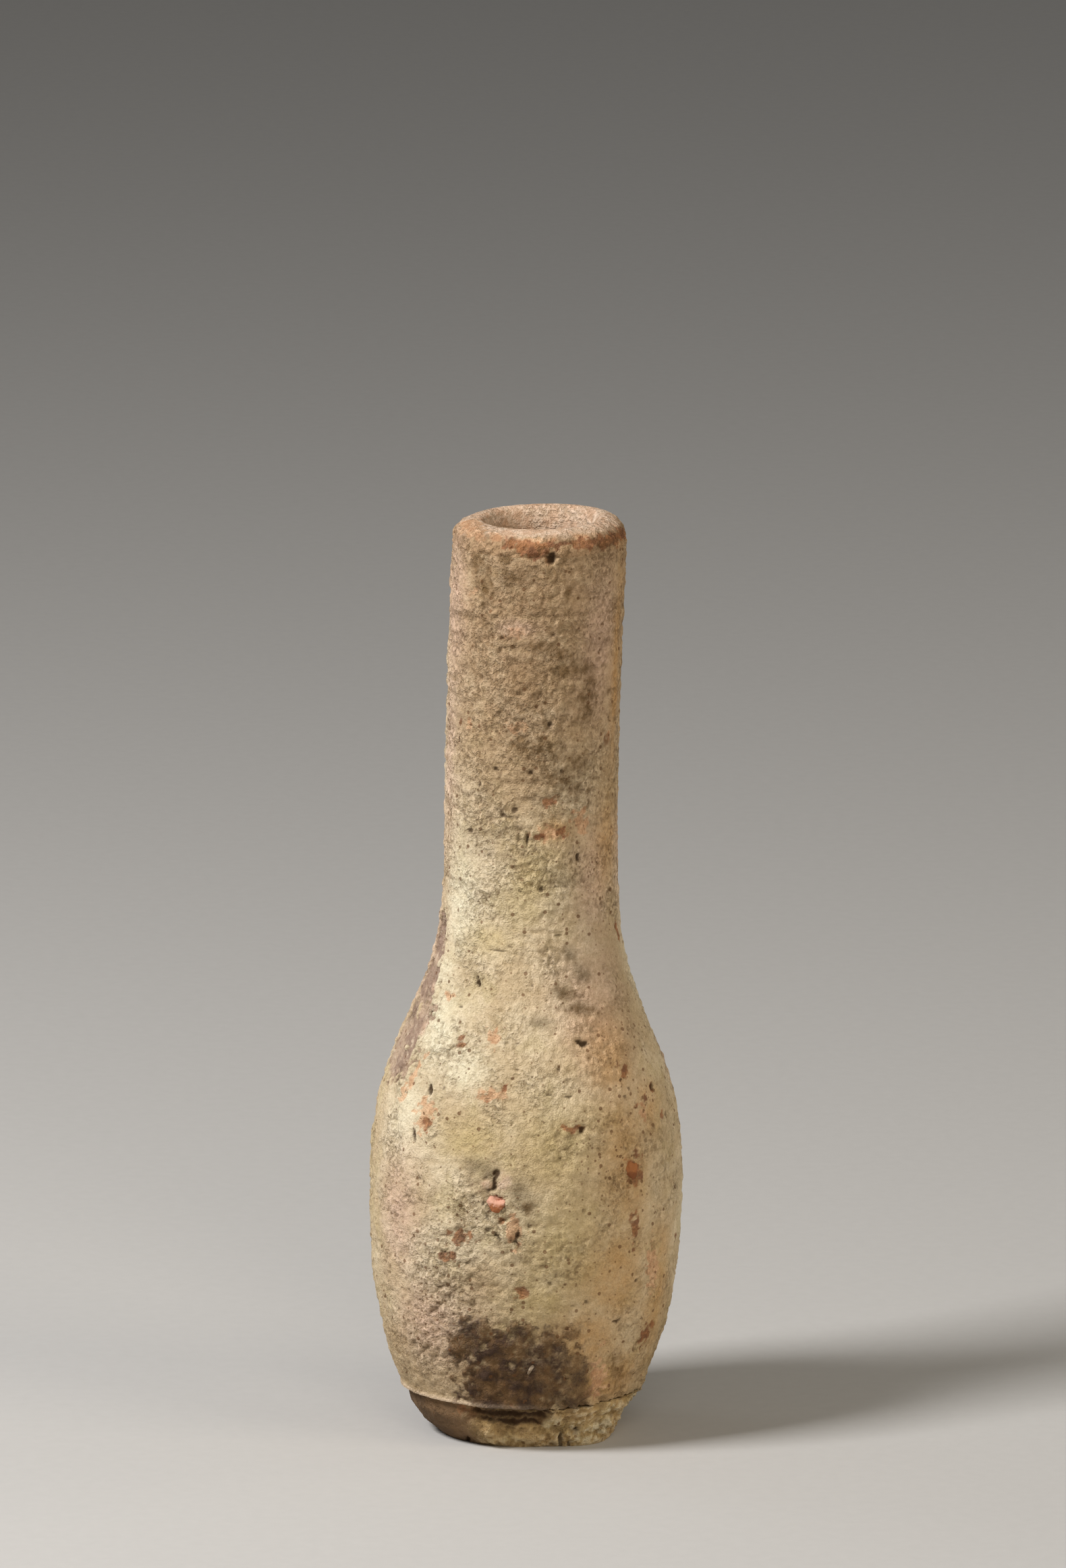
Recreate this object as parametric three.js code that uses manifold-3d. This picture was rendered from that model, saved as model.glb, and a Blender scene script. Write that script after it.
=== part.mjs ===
// A small perfume bottle of fired clay, thrown in sections and luted together: an unguentarium.
// Millimetres, +Z up, +X to the right of its better side, which faces -Y.
// The origin is the centre of the foot's flat underside.
import * as THREE from "three";
import { mergeVertices } from "three/addons/utils/BufferGeometryUtils.js";
import Module from "manifold-3d";

const wasm = await Module();
wasm.setup();

// Lengths of the stacked sections, from the table up.
const FOOT_DISC_HEIGHT = 2.1;
const FOOT_TAPER_HEIGHT = 4.5;
const BODY_LENGTH = 64.4;
const NECK_LENGTH = 55.6;
const LIP_HEIGHT = 3.4;

// Outer radii of the finished bottle, with its pale coat on.
const FOOT_RADIUS = 12.6;
const FOOT_WAIST_RADIUS = 13.1;
const EDGE_RADIUS = 16.7;
const BELLY_RADIUS = 21.75;
const NECK_RADIUS = 12.05;
const LIP_RADIUS = 12.2;

// Where the outline turns, measured up from the body's cut lower edge and from the luted join.
const BELLY_RISE = 27.4;
const FLARE_RISE = 11;

// How far the outline's tangents pull at its turns.
const EDGE_PULL_OUT = 3.9;
const EDGE_PULL_UP = 8.5;
const BELLY_PULL_DOWN = 7;
const BELLY_PULL_UP = 27;
const FLARE_PULL_DOWN = 26;

// Thicknesses.
const BODY_WALL = 4;
const BORE_RADIUS = 7.4;
const FLOOR_THICKNESS = 4;
const FLOOR_PULL = 13;
const COAT_THICKNESS = 0.45;
const COAT_CLEARANCE = 0.05;
const CRUST_THICKNESS = 0.35;
const EDGE_OVERHANG = 0.5;
const UNDERSIDE_ROUND = 0.2;
const TAPER_HOLLOW = 0.25;

// The lip's highest line, and how far its outer corner and its funnel-like mouth fall away below it.
const RIDGE_RADIUS = 8.8;
const CORNER_DROP = 2.8;
const MOUTH_DROP = 2.6;

// The foot's clay was pressed out at its front right, by this much and within this angle.
const FOOT_SPREAD = 1.9;
const SPREAD_ANGLE = 43;
const SPREAD_REACH = 34;

// The potter's hand: the neck leans to +X, the lip rises a little to +X, the body bulges at -X up to where
// the bulge fades below the belly, and a knife bevelled the foot at -X to a face that swells between its edges.
const FLARE_LEAN = 0.7;
const LIP_LEAN = 1.4;
const LIP_SLOPE = 0.02;
const SIDE_BULGE = 0.55;
const BULGE_FADE = 12;
const BEVEL_SWELL = 1.1;
const BEVEL_START = -0.25;
const BEVEL_FULL = 0.55;

// The window flaked off the slip on the left shoulder: how far below the luted join its two parts lie.
const LOSS_WIDTH = 10.5;
const LOSS_LENGTH = 17;
const LOSS_DROP = 9;
const LOSS_TAIL_LENGTH = 8.4;
const LOSS_TAIL_DROP = 15.4;

// The burnt crust's three lobes, and how high the middle one lies above the body's cut edge.
const LOBE_WIDTH = 11;
const LOBE_LENGTH = 9.4;
const CRUST_RISE = 4.8;
const LEFT_LOBE_LIFT = 2.8;
const RIGHT_LOBE_LIFT = 0.8;

// Widths of the mineral grits that stand in the surface, and how high the first two lie above the belly's
// widest line, the last above the body's cut edge.
const RED_GRIT_WIDTH = 3.2;
const BROWN_GRIT_WIDTH = 2;
const PALE_GRIT_WIDTH = 1.1;
const RED_GRIT_RISE = 3.2;
const BROWN_GRIT_RISE = 6.5;
const PALE_GRIT_RISE = 6.3;
const GRIT_CLEARANCE = 0.3;

// Fineness of the turned surfaces.
const SEGMENTS = 56;
const BODY_STEPS = 7;
const FLARE_STEPS = 5;
const NECK_STEPS = 5;
const LIP_STEPS = 8;
const PUNCH_SIDES = 20;

// Heights that follow from the sizes above.
const EDGE_Z = FOOT_DISC_HEIGHT + FOOT_TAPER_HEIGHT;
const BELLY_Z = EDGE_Z + BELLY_RISE;
const JOIN_Z = EDGE_Z + BODY_LENGTH;
const FLARE_Z = JOIN_Z + FLARE_RISE;
const LIP_Z = JOIN_Z + NECK_LENGTH;
const CREST_Z = LIP_Z + LIP_HEIGHT;
const FLOOR_Z = EDGE_Z + FLOOR_THICKNESS;
const COAT_DEPTH = COAT_THICKNESS + COAT_CLEARANCE;

// Ovals that run together into the flaked window and the crust. Angles are in degrees round the axis,
// 0 at the front (-Y), positive to +X.
const SHOULDER_LOSS = [
  { angle: -72, height: JOIN_Z - LOSS_DROP, wide: LOSS_WIDTH, tall: LOSS_LENGTH },
  { angle: -73, height: JOIN_Z - LOSS_TAIL_DROP, wide: LOSS_WIDTH, tall: LOSS_TAIL_LENGTH },
];
const CRUST_Z = EDGE_Z + CRUST_RISE;
const CRUST = [
  { angle: -17, height: CRUST_Z + LEFT_LOBE_LIFT, wide: LOBE_WIDTH, tall: LOBE_LENGTH },
  { angle: -2, height: CRUST_Z, wide: LOBE_WIDTH, tall: LOBE_LENGTH },
  { angle: 13, height: CRUST_Z + RIGHT_LOBE_LIFT, wide: LOBE_WIDTH, tall: LOBE_LENGTH },
];

// The grits' places and colours, and their height and depth as shares of their width.
const GRITS = [
  {
    name: "red_grit",
    angle: -11,
    height: BELLY_Z + RED_GRIT_RISE,
    wide: RED_GRIT_WIDTH,
    tallShare: 0.81,
    deepShare: 0.69,
    color: 0xb8694d,
  },
  {
    name: "brown_grit",
    angle: 44,
    height: BELLY_Z + BROWN_GRIT_RISE,
    wide: BROWN_GRIT_WIDTH,
    tallShare: 1.3,
    deepShare: 0.8,
    color: 0x8a5433,
  },
  {
    name: "pale_grit",
    angle: 2,
    height: EDGE_Z + PALE_GRIT_RISE,
    wide: PALE_GRIT_WIDTH,
    tallShare: 1.55,
    deepShare: 1.18,
    color: 0xb9a995,
  },
];

const point = (r, z) => new THREE.Vector2(r, z);

// A shoulder that swings from the belly's radius in to the neck's, upright at both ends.
function shoulderCurve(bellyRadius, neckRadius) {
  return new THREE.CubicBezierCurve(
    point(bellyRadius, BELLY_Z),
    point(bellyRadius, BELLY_Z + BELLY_PULL_UP),
    point(neckRadius, FLARE_Z - FLARE_PULL_DOWN),
    point(neckRadius, FLARE_Z),
  );
}

// The outline's lower part, from the cut edge out to the belly.
function bellyCurve() {
  return new THREE.CubicBezierCurve(
    point(EDGE_RADIUS, EDGE_Z),
    point(EDGE_RADIUS + EDGE_PULL_OUT, EDGE_Z + EDGE_PULL_UP),
    point(BELLY_RADIUS, BELLY_Z - BELLY_PULL_DOWN),
    point(BELLY_RADIUS, BELLY_Z),
  );
}

// The hollow's lower part, from its floor on the axis out to the belly.
function hollowCurve() {
  const radius = BELLY_RADIUS - BODY_WALL;
  return new THREE.CubicBezierCurve(
    point(0, FLOOR_Z),
    point(radius * 0.8, FLOOR_Z),
    point(radius, BELLY_Z - FLOOR_PULL),
    point(radius, BELLY_Z),
  );
}

// The curve's radius at a height, for a curve that only climbs.
function radiusAt(curve, z) {
  let low = 0;
  let high = 1;
  for (let i = 0; i < 40; i++) {
    const middle = (low + high) / 2;
    if (curve.getPoint(middle).y < z) low = middle;
    else high = middle;
  }
  return curve.getPoint((low + high) / 2).x;
}

// Radius of the outside or of the hollow, sunk by a depth, at any height above the cut edge.
function outside(z, depth = 0) {
  const curve = z < BELLY_Z ? bellyCurve() : shoulderCurve(BELLY_RADIUS, NECK_RADIUS);
  return (z >= FLARE_Z ? NECK_RADIUS : radiusAt(curve, z)) - depth;
}

function hollow(z) {
  const curve = z < BELLY_Z ? hollowCurve() : shoulderCurve(BELLY_RADIUS - BODY_WALL, BORE_RADIUS);
  return z >= FLARE_Z ? BORE_RADIUS : radiusAt(curve, z);
}

// Evenly spaced heights, both ends included.
const steps = (from, to, count) => Array.from({ length: count + 1 }, (_, i) => from + ((to - from) * i) / count);

// The heights of a section's rings, from one of its seams or turns to another.
function ringHeights(from, to) {
  const spans = [
    { start: EDGE_Z, end: BELLY_Z, count: BODY_STEPS },
    { start: BELLY_Z, end: JOIN_Z, count: BODY_STEPS },
    { start: JOIN_Z, end: FLARE_Z, count: FLARE_STEPS },
    { start: FLARE_Z, end: LIP_Z, count: NECK_STEPS },
  ];
  const crossed = spans.filter((span) => span.start >= from && span.end <= to);
  return [...crossed.flatMap(({ start, end, count }) => steps(start, end, count).slice(0, -1)), to];
}

// The axis's sideways offset: nothing up to the middle of the shoulder, then a lean that grows up the neck.
function lean(z) {
  const shoulderZ = (BELLY_Z + JOIN_Z) / 2;
  const neckShare = Math.max(0, (z - FLARE_Z) / (CREST_Z - FLARE_Z));
  return FLARE_LEAN * THREE.MathUtils.smoothstep(z, shoulderZ, FLARE_Z) + LIP_LEAN * neckShare ** 2;
}

// How much wider than turned the side at -X is at a height, as a share.
function bulge(z) {
  return (SIDE_BULGE / BELLY_RADIUS) * (1 - THREE.MathUtils.smoothstep(z, BELLY_Z - BULGE_FADE, BELLY_Z));
}

// Bends a turned form to the potter's line. Above the lip's seam the crest slopes as well.
function bend(geometry) {
  const p = geometry.getAttribute("position");
  for (let i = 0; i < p.count; i++) {
    const [x, z] = [p.getX(i), p.getZ(i)];
    const lipShare = Math.max(0, (z - LIP_Z) / LIP_HEIGHT);
    p.setXYZ(i, x + Math.min(0, x) * bulge(z) + lean(z), p.getY(i), z + LIP_SLOPE * x * lipShare);
  }
  return geometry;
}

// A form turned about Z from an outline of (radius, height) points that runs up its outside.
function turned(outline) {
  return new THREE.LatheGeometry(outline, SEGMENTS).rotateX(Math.PI / 2);
}

// A shell between two surfaces, each a function of height.
function shell(outer, inner, from, to) {
  const heights = ringHeights(from, to);
  const out = heights.map((z) => point(outer(z), z));
  const back = heights.map((z) => point(inner(z), z)).reverse();
  return turned([...out, ...back, out[0]]);
}

// A closed geometry as a solid that can be cut and joined, and back again.
function solid(geometry) {
  const bare = new THREE.BufferGeometry().setAttribute("position", geometry.getAttribute("position"));
  if (geometry.index) bare.setIndex(geometry.index);
  const merged = mergeVertices(bare, 1e-4);
  const corners = Array.from(merged.index.array);
  const kept = [];
  for (let i = 0; i < corners.length; i += 3) {
    const [a, b, c] = corners.slice(i, i + 3);
    if (a !== b && b !== c && c !== a) kept.push(a, b, c);
  }
  const vertProperties = merged.getAttribute("position").array;
  return new wasm.Manifold(new wasm.Mesh({ numProp: 3, vertProperties, triVerts: new Uint32Array(kept) }));
}

function geometryOf(manifold) {
  const { numProp, vertProperties, triVerts } = manifold.getMesh();
  const geometry = new THREE.BufferGeometry();
  const positions = new Float32Array((vertProperties.length / numProp) * 3);
  for (let i = 0; i < positions.length / 3; i++) {
    for (let k = 0; k < 3; k++) positions[i * 3 + k] = vertProperties[i * numProp + k];
  }
  geometry.setAttribute("position", new THREE.BufferAttribute(positions, 3));
  geometry.setIndex(new THREE.BufferAttribute(new Uint32Array(triVerts), 1));
  geometry.computeVertexNormals();
  return geometry;
}

// Turns a form made at the front of the axis, facing -Y, to its place round the bottle's outside.
function placed(geometry, { angle, height }, depth = 0) {
  return geometry
    .translate(0, -(outside(height) - depth), 0)
    .rotateZ(THREE.MathUtils.degToRad(angle))
    .translate(lean(height), 0, height);
}

// A punch of joined ovals that stands in the wall, long enough to pass the coat on one side only.
function punch(ovals) {
  const length = BELLY_RADIUS;
  const posts = ovals.map((oval) => {
    const post = new THREE.CylinderGeometry(0.5, 0.5, length, PUNCH_SIDES).scale(oval.wide, 1, oval.tall);
    return solid(placed(post, oval));
  });
  return posts.reduce((joined, post) => joined.add(post));
}

// A worn pebble, swollen by a margin where it makes its own socket.
function pebble(grit, margin = 0) {
  const { wide, tallShare, deepShare } = grit;
  const stone = new THREE.IcosahedronGeometry(0.5, 1);
  stone.scale(wide + 2 * margin, wide * deepShare + 2 * margin, wide * tallShare + 2 * margin);
  return placed(stone, grit, (wide * deepShare) / 4);
}

const sockets = () => GRITS.map((grit) => solid(pebble(grit, GRIT_CLEARANCE)));
const withSockets = (form) => sockets().reduce((left, socket) => left.subtract(socket), form);

// How far the foot's clay is pressed out at a place: most on the table at the front right, none at the top.
function footSpread(x, y, z) {
  const angle = THREE.MathUtils.radToDeg(Math.atan2(x, -y));
  const away = Math.min(1, Math.abs(angle - SPREAD_ANGLE) / SPREAD_REACH);
  const low = 1 - THREE.MathUtils.smoothstep(z, FOOT_DISC_HEIGHT, EDGE_Z);
  return FOOT_SPREAD * low * Math.cos((away * Math.PI) / 2) ** 2;
}

// The solid pad under the body: a low disc, and a taper that spreads to meet the body's cut edge.
function footDisc() {
  const topRadius = EDGE_RADIUS - EDGE_OVERHANG;
  const middleZ = (FOOT_DISC_HEIGHT + EDGE_Z) / 2;
  const outline = [
    point(0, 0),
    point(FOOT_RADIUS - UNDERSIDE_ROUND, 0),
    point(FOOT_RADIUS, UNDERSIDE_ROUND),
    point(FOOT_WAIST_RADIUS, FOOT_DISC_HEIGHT),
    point((FOOT_WAIST_RADIUS + topRadius) / 2 - TAPER_HOLLOW, middleZ),
    point(topRadius, EDGE_Z),
    point(0, EDGE_Z),
  ];
  const geometry = turned(outline);
  const p = geometry.getAttribute("position");
  const leftRadius = topRadius * (1 + bulge(EDGE_Z));
  const bevel = (z) => {
    const climb = (z - UNDERSIDE_ROUND) / (EDGE_Z - UNDERSIDE_ROUND);
    return FOOT_RADIUS + (leftRadius - FOOT_RADIUS) * climb + BEVEL_SWELL * Math.sin(Math.PI * climb);
  };
  for (let i = 0; i < p.count; i++) {
    const [x, y, z] = [p.getX(i), p.getY(i), p.getZ(i)];
    const radius = Math.hypot(x, y);
    if (radius < FOOT_RADIUS - 2 * UNDERSIDE_ROUND) continue;
    const share = z > UNDERSIDE_ROUND ? THREE.MathUtils.smoothstep(-x / radius, BEVEL_START, BEVEL_FULL) : 0;
    const scale = 1 + (share * (bevel(z) - radius) + footSpread(x, y, z)) / radius;
    p.setXY(i, x * scale, y * scale);
  }
  return geometryOf(solid(geometry));
}

// The thrown body: a thick floor, an egg-shaped hollow and a shoulder that ends at the luted join.
function bodyWall() {
  const out = ringHeights(EDGE_Z, JOIN_Z).map((z) => point(outside(z, COAT_DEPTH), z));
  const shoulder = ringHeights(BELLY_Z, JOIN_Z).map((z) => point(hollow(z), z));
  const bowl = hollowCurve().getPoints(BODY_STEPS).slice(0, -1);
  const outline = [point(0, EDGE_Z), ...out, ...shoulder.reverse(), ...bowl.reverse()];
  return geometryOf(withSockets(solid(bend(turned(outline)))));
}

function neckTube() {
  return bend(shell((z) => outside(z, COAT_DEPTH), hollow, JOIN_Z, LIP_Z));
}

// The pale slip, a skin of its own over the clay, with the window that flaked off.
function bodyCoat() {
  const skin = solid(bend(shell(outside, (z) => outside(z, COAT_THICKNESS), EDGE_Z, JOIN_Z)));
  return geometryOf(withSockets(skin.subtract(punch(SHOULDER_LOSS))));
}

function neckCoat() {
  return bend(shell(outside, (z) => outside(z, COAT_THICKNESS), JOIN_Z, LIP_Z));
}

// The thick lip, a coil laid on the end of the neck, rounded off outside and like a funnel inside.
function rimLip() {
  const over = steps(0, Math.PI, LIP_STEPS).map((a) => {
    const width = (a < Math.PI / 2 ? LIP_RADIUS : BORE_RADIUS) - RIDGE_RADIUS;
    const drop = a < Math.PI / 2 ? CORNER_DROP : MOUTH_DROP;
    return point(RIDGE_RADIUS + width * Math.abs(Math.cos(a)), CREST_Z - drop * (1 - Math.sin(a)));
  });
  const foot = point(NECK_RADIUS, LIP_Z);
  return bend(turned([foot, ...over, point(BORE_RADIUS, LIP_Z), foot]));
}

// The burnt crust that clings to the coat, a little clear of it.
function darkCrust() {
  const top = (z) => outside(z, -COAT_CLEARANCE - CRUST_THICKNESS);
  const under = (z) => outside(z, -COAT_CLEARANCE);
  const skin = solid(bend(shell(top, under, EDGE_Z, JOIN_Z)));
  return geometryOf(withSockets(skin.intersect(punch(CRUST))));
}

const clay = new THREE.MeshStandardMaterial({ color: 0xb07a55, roughness: 0.95 });
const coat = new THREE.MeshStandardMaterial({ color: 0xcbb68d, roughness: 0.97 });
const burnt = new THREE.MeshStandardMaterial({ color: 0x4a3a2c, roughness: 0.98 });

function node(name, geometry, material) {
  const mesh = new THREE.Mesh(geometry, material);
  mesh.name = name;
  return mesh;
}

const unguentarium = new THREE.Group();
unguentarium.add(
  node("foot_disc", footDisc(), clay),
  node("body_wall", bodyWall(), clay),
  node("neck_tube", neckTube(), clay),
  node("rim_lip", rimLip(), clay),
  node("body_coat", bodyCoat(), coat),
  node("neck_coat", neckCoat(), coat),
  node("dark_crust", darkCrust(), burnt),
);
for (const grit of GRITS) {
  const material = new THREE.MeshStandardMaterial({ color: grit.color, roughness: 0.85 });
  unguentarium.add(node(grit.name, pebble(grit), material));
}

export default unguentarium;
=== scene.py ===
import math
from itertools import product

import bmesh
import bpy
import numpy as np
from mathutils import Euler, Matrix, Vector


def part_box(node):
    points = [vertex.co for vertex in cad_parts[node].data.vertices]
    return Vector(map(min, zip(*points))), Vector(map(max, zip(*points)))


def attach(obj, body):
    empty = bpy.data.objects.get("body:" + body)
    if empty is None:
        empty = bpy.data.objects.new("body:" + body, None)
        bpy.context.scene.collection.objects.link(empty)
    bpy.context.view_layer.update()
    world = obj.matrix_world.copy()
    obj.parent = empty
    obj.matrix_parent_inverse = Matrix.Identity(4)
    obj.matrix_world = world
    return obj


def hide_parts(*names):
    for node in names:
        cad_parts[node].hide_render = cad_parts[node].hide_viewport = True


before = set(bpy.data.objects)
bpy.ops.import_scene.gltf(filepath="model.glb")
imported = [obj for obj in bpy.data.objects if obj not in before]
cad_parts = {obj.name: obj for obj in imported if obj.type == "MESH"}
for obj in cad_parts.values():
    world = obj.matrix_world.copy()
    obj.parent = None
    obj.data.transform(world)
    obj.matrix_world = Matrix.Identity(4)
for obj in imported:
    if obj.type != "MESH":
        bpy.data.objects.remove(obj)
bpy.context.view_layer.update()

MM = 0.001
SEED = 7

# The photograph: its size, and where and how large the bottle stands in it.
PHOTO_WIDE, PHOTO_HIGH = 1580, 2324
PX_PER_MM = 10.65
FOOT_X_PX, FOOT_Y_PX = 779.5, 2119.5
CAMERA_TILT = math.radians(12.4)
CAMERA_DISTANCE = 2400
TILT_COS, TILT_SIN = math.cos(CAMERA_TILT), math.sin(CAMERA_TILT)

# The point in the image's middle: how far beside and above the foot's centre it lies.
VIEW_ASIDE = (PHOTO_WIDE / 2 - FOOT_X_PX) / PX_PER_MM
VIEW_ABOVE = (FOOT_Y_PX - PHOTO_HIGH / 2) / PX_PER_MM / TILT_COS

# Fineness of the surfaces: points round the axis, height of a row outside and inside, and the rows under
# the lip, in each quarter of its roll and down into its mouth.
COLUMNS = 384
OUTER_STEP = 0.31
INNER_STEP = 1.6
UNDER_ROWS, ROLL_ROWS, MOUTH_ROWS = 5, 16, 3

# The level faces of the seam on the foot and of its underside have rings of these radii.
SEAM_RINGS = (0, 6, 12)
BASE_RINGS = (0, 6, 11)

# A turned solid's ring has at least this many corners.
WHOLE_RING = 50
# A ring is the hollow's where it lies this far inside the skin and above the body's cut edge.
LEAST_WALL, LEAST_FLOOR = 3, 1
# How far the hollow's floor sags in the middle.
FLOOR_SAG = 0.62

UPWARD = np.array([0, 0, 1])


# Outlines, read off the rings of the turned solids
def corners_of(node):
    """A CAD node's distinct corners, in millimetres."""
    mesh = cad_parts[node].data
    co = np.zeros(3 * len(mesh.vertices), np.float32)
    mesh.vertices.foreach_get("co", co)
    return np.unique(np.round(co.reshape(-1, 3) / MM, 3), axis=0)


def rings_of(*nodes):
    """Rows of height, outer and inner radius, lean and side bulge, a column for each ring of turned nodes."""
    rows = []
    for node in nodes:
        corners = corners_of(node)
        heights, counts = np.unique(corners[:, 2], return_counts=True)
        for height in heights[counts >= WHOLE_RING]:
            ring = corners[corners[:, 2] == height]
            lean, radius = ring[ring[:, 1].argmax(), :2]
            inner = np.hypot(ring[:, 0] - lean, ring[:, 1]).min()
            rows.append((height, radius, inner, lean, max(0, (lean - ring[:, 0].min()) / radius - 1)))
    rows = np.array(rows)
    return rows[np.unique(rows[:, 0], return_index=True)[1]].T


def curve_through(xs, ys, x):
    """A smooth curve through points: cubic pieces whose slopes come from their neighbours."""
    slopes = np.gradient(ys, xs)
    i = np.clip(np.searchsorted(xs, x) - 1, 0, len(xs) - 2)
    width = xs[i + 1] - xs[i]
    t = np.clip((x - xs[i]) / width, 0, 1)
    rise = ys[i] * (1 + 2 * t) * (1 - t) ** 2 + ys[i + 1] * t * t * (3 - 2 * t)
    return rise + width * t * (1 - t) * (slopes[i] * (1 - t) - slopes[i + 1] * t)


EDGE_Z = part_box("body_wall")[0].z / MM
JOIN_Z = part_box("neck_tube")[0].z / MM
LIP_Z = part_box("rim_lip")[0].z / MM
LIP_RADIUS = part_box("rim_lip")[1].y / MM

skin_z, skin_r, _, skin_lean, skin_bulge = rings_of("body_coat", "neck_coat")
_, _, wall_in, _, _ = wall_rings = rings_of("body_wall", "neck_tube")
inside = wall_in < np.interp(wall_rings[0], skin_z, skin_r) - LEAST_WALL
hollow = wall_rings[:, inside & (wall_rings[0] > EDGE_Z + LEAST_FLOOR)]
lip_corners = corners_of("rim_lip")
BORE_RADIUS = hollow[2][-1]
LIP_LEAN = lip_corners[lip_corners[:, 1].argmax(), 0]
lip_front = lip_corners[(np.abs(lip_corners[:, 0] - LIP_LEAN) < 0.4) & (lip_corners[:, 1] < 0)]
front_radius = -lip_front[:, 1]
CREST_Z = lip_front[:, 2].max()
RIDGE_RADIUS = front_radius[lip_front[:, 2].argmax()]
CORNER_Z = lip_front[front_radius.argmax(), 2]
MOUTH_Z = lip_front[front_radius < BORE_RADIUS + 0.01, 2].max()
LIP_SLOPE = (lip_corners[:, 2].max() - CREST_Z) / RIDGE_RADIUS


def outer_radius(z):
    return curve_through(skin_z, skin_r, z)


def lean(z):
    """The axis's sideways offset, carried on past the last ring at the same bend."""
    last = np.polyfit(skin_z[-3:], skin_lean[-3:], 2)
    return np.where(z < skin_z[-1], np.interp(z, skin_z, skin_lean), np.polyval(last, z))


def smooth(low, high, x):
    """0 up to low, 1 from high on, or the other way round where high is less."""
    t = np.clip((x - low) / (high - low), 0, 1)
    return t * t * (3 - 2 * t)


def sector(low, high, angle):
    """smooth for an angle, with its limits in degrees."""
    return smooth(math.radians(low), math.radians(high), angle)


def hump(x, middle, width):
    """1 in the middle, about a third a width away on either side."""
    return np.exp(-(((x - middle) / width) ** 2))


def wrapped(angle):
    """The same direction as an angle from minus to plus half a turn."""
    return (angle + math.pi) % (2 * math.pi) - math.pi


def tilted(along, up, tilt):
    """Distances along and across a line that is tilted from level, by degrees."""
    c, s = math.cos(math.radians(tilt)), math.sin(math.radians(tilt))
    return along * c + up * s, up * c - along * s


def in_photo(points):
    """Where the camera sees points: x and y in the photograph's pixels."""
    x, y, z = points[..., 0] - VIEW_ASIDE, points[..., 1], points[..., 2] - VIEW_ABOVE
    scale = PX_PER_MM * CAMERA_DISTANCE / (CAMERA_DISTANCE + y * TILT_COS - z * TILT_SIN)
    return PHOTO_WIDE / 2 + scale * x, PHOTO_HIGH / 2 - scale * (z * TILT_COS + y * TILT_SIN)


def seen_at(x, y):
    """Angle and height of the point on the front that the photograph shows at one of its pixels."""
    aside, height = (x - FOOT_X_PX) / PX_PER_MM, (FOOT_Y_PX - y) / PX_PER_MM
    for _ in range(15):
        height = min(height, LIP_Z + 2)
        radius, axis = float(outer_radius(np.array(height))), float(lean(np.array(height)))
        angle = math.asin(max(-0.98, min(0.98, (aside - axis) / radius)))
        place = np.array([radius * math.sin(angle) + axis, -radius * math.cos(angle), height])
        seen_x, seen_y = in_photo(place)
        aside += (x - seen_x) / PX_PER_MM
        height += (seen_y - y) / PX_PER_MM
    return angle, height


# Noise
class Lattice:
    """Random numbers and directions on a 3-D lattice, the same on every run."""

    def __init__(self, seed):
        rng = np.random.default_rng(seed)
        self.order = rng.permutation(256)
        directions = rng.normal(size=(256, 3))
        self.directions = directions / np.linalg.norm(directions, axis=1)[:, None]
        self.numbers = rng.random((256, 4))

    def key(self, cell):
        order = self.order
        return order[(order[(order[cell[..., 0] & 255] + cell[..., 1]) & 255] + cell[..., 2]) & 255]


# Turns the noise's lattice out of line with the bottle's rows and columns.
LATTICE_TURN = np.array(Euler((0.63, 0.47, 0.29)).to_matrix())


def waves(points, size, seed, octaves=1, fade=0.5):
    """Smooth noise of about -1 to 1, whose lumps are about as wide as size."""
    total = np.zeros(points.shape[:-1])
    for octave in range(octaves):
        lattice = Lattice(SEED + 31 * seed + octave)
        p = points @ LATTICE_TURN * (2**octave / size)
        cell = np.floor(p).astype(int)
        f = p - cell
        ease = f * f * f * (f * (f * 6 - 15) + 10)
        for corner in product((0, 1), repeat=3):
            weight = np.prod(np.where(corner, ease, 1 - ease), axis=-1)
            direction = lattice.directions[lattice.key(cell + corner)]
            total += fade**octave * weight * np.sum(direction * (f - corner), axis=-1)
    return 1.7 * total


def pores(points, size, seed, share, wide):
    """Round dimples, 1 at their centres: a share of the lattice's cells has one, up to wide across."""
    lattice = Lattice(SEED + 57 * seed)
    p = points / size
    cell = np.floor(p).astype(int)
    deepest = np.zeros(points.shape[:-1])
    for step in product((-1, 0, 1), repeat=3):
        near = cell + step
        numbers = lattice.numbers[lattice.key(near)]
        apart = np.linalg.norm((near + numbers[..., :3] - p) * size, axis=-1)
        reach = wide / 2 * (0.4 + 0.6 * (numbers[..., 3] * 977 % 1))
        dimple = np.clip(1 - (apart / reach) ** 2, 0, 1) * (numbers[..., 3] < share)
        deepest = np.maximum(deepest, dimple)
    return deepest


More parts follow.
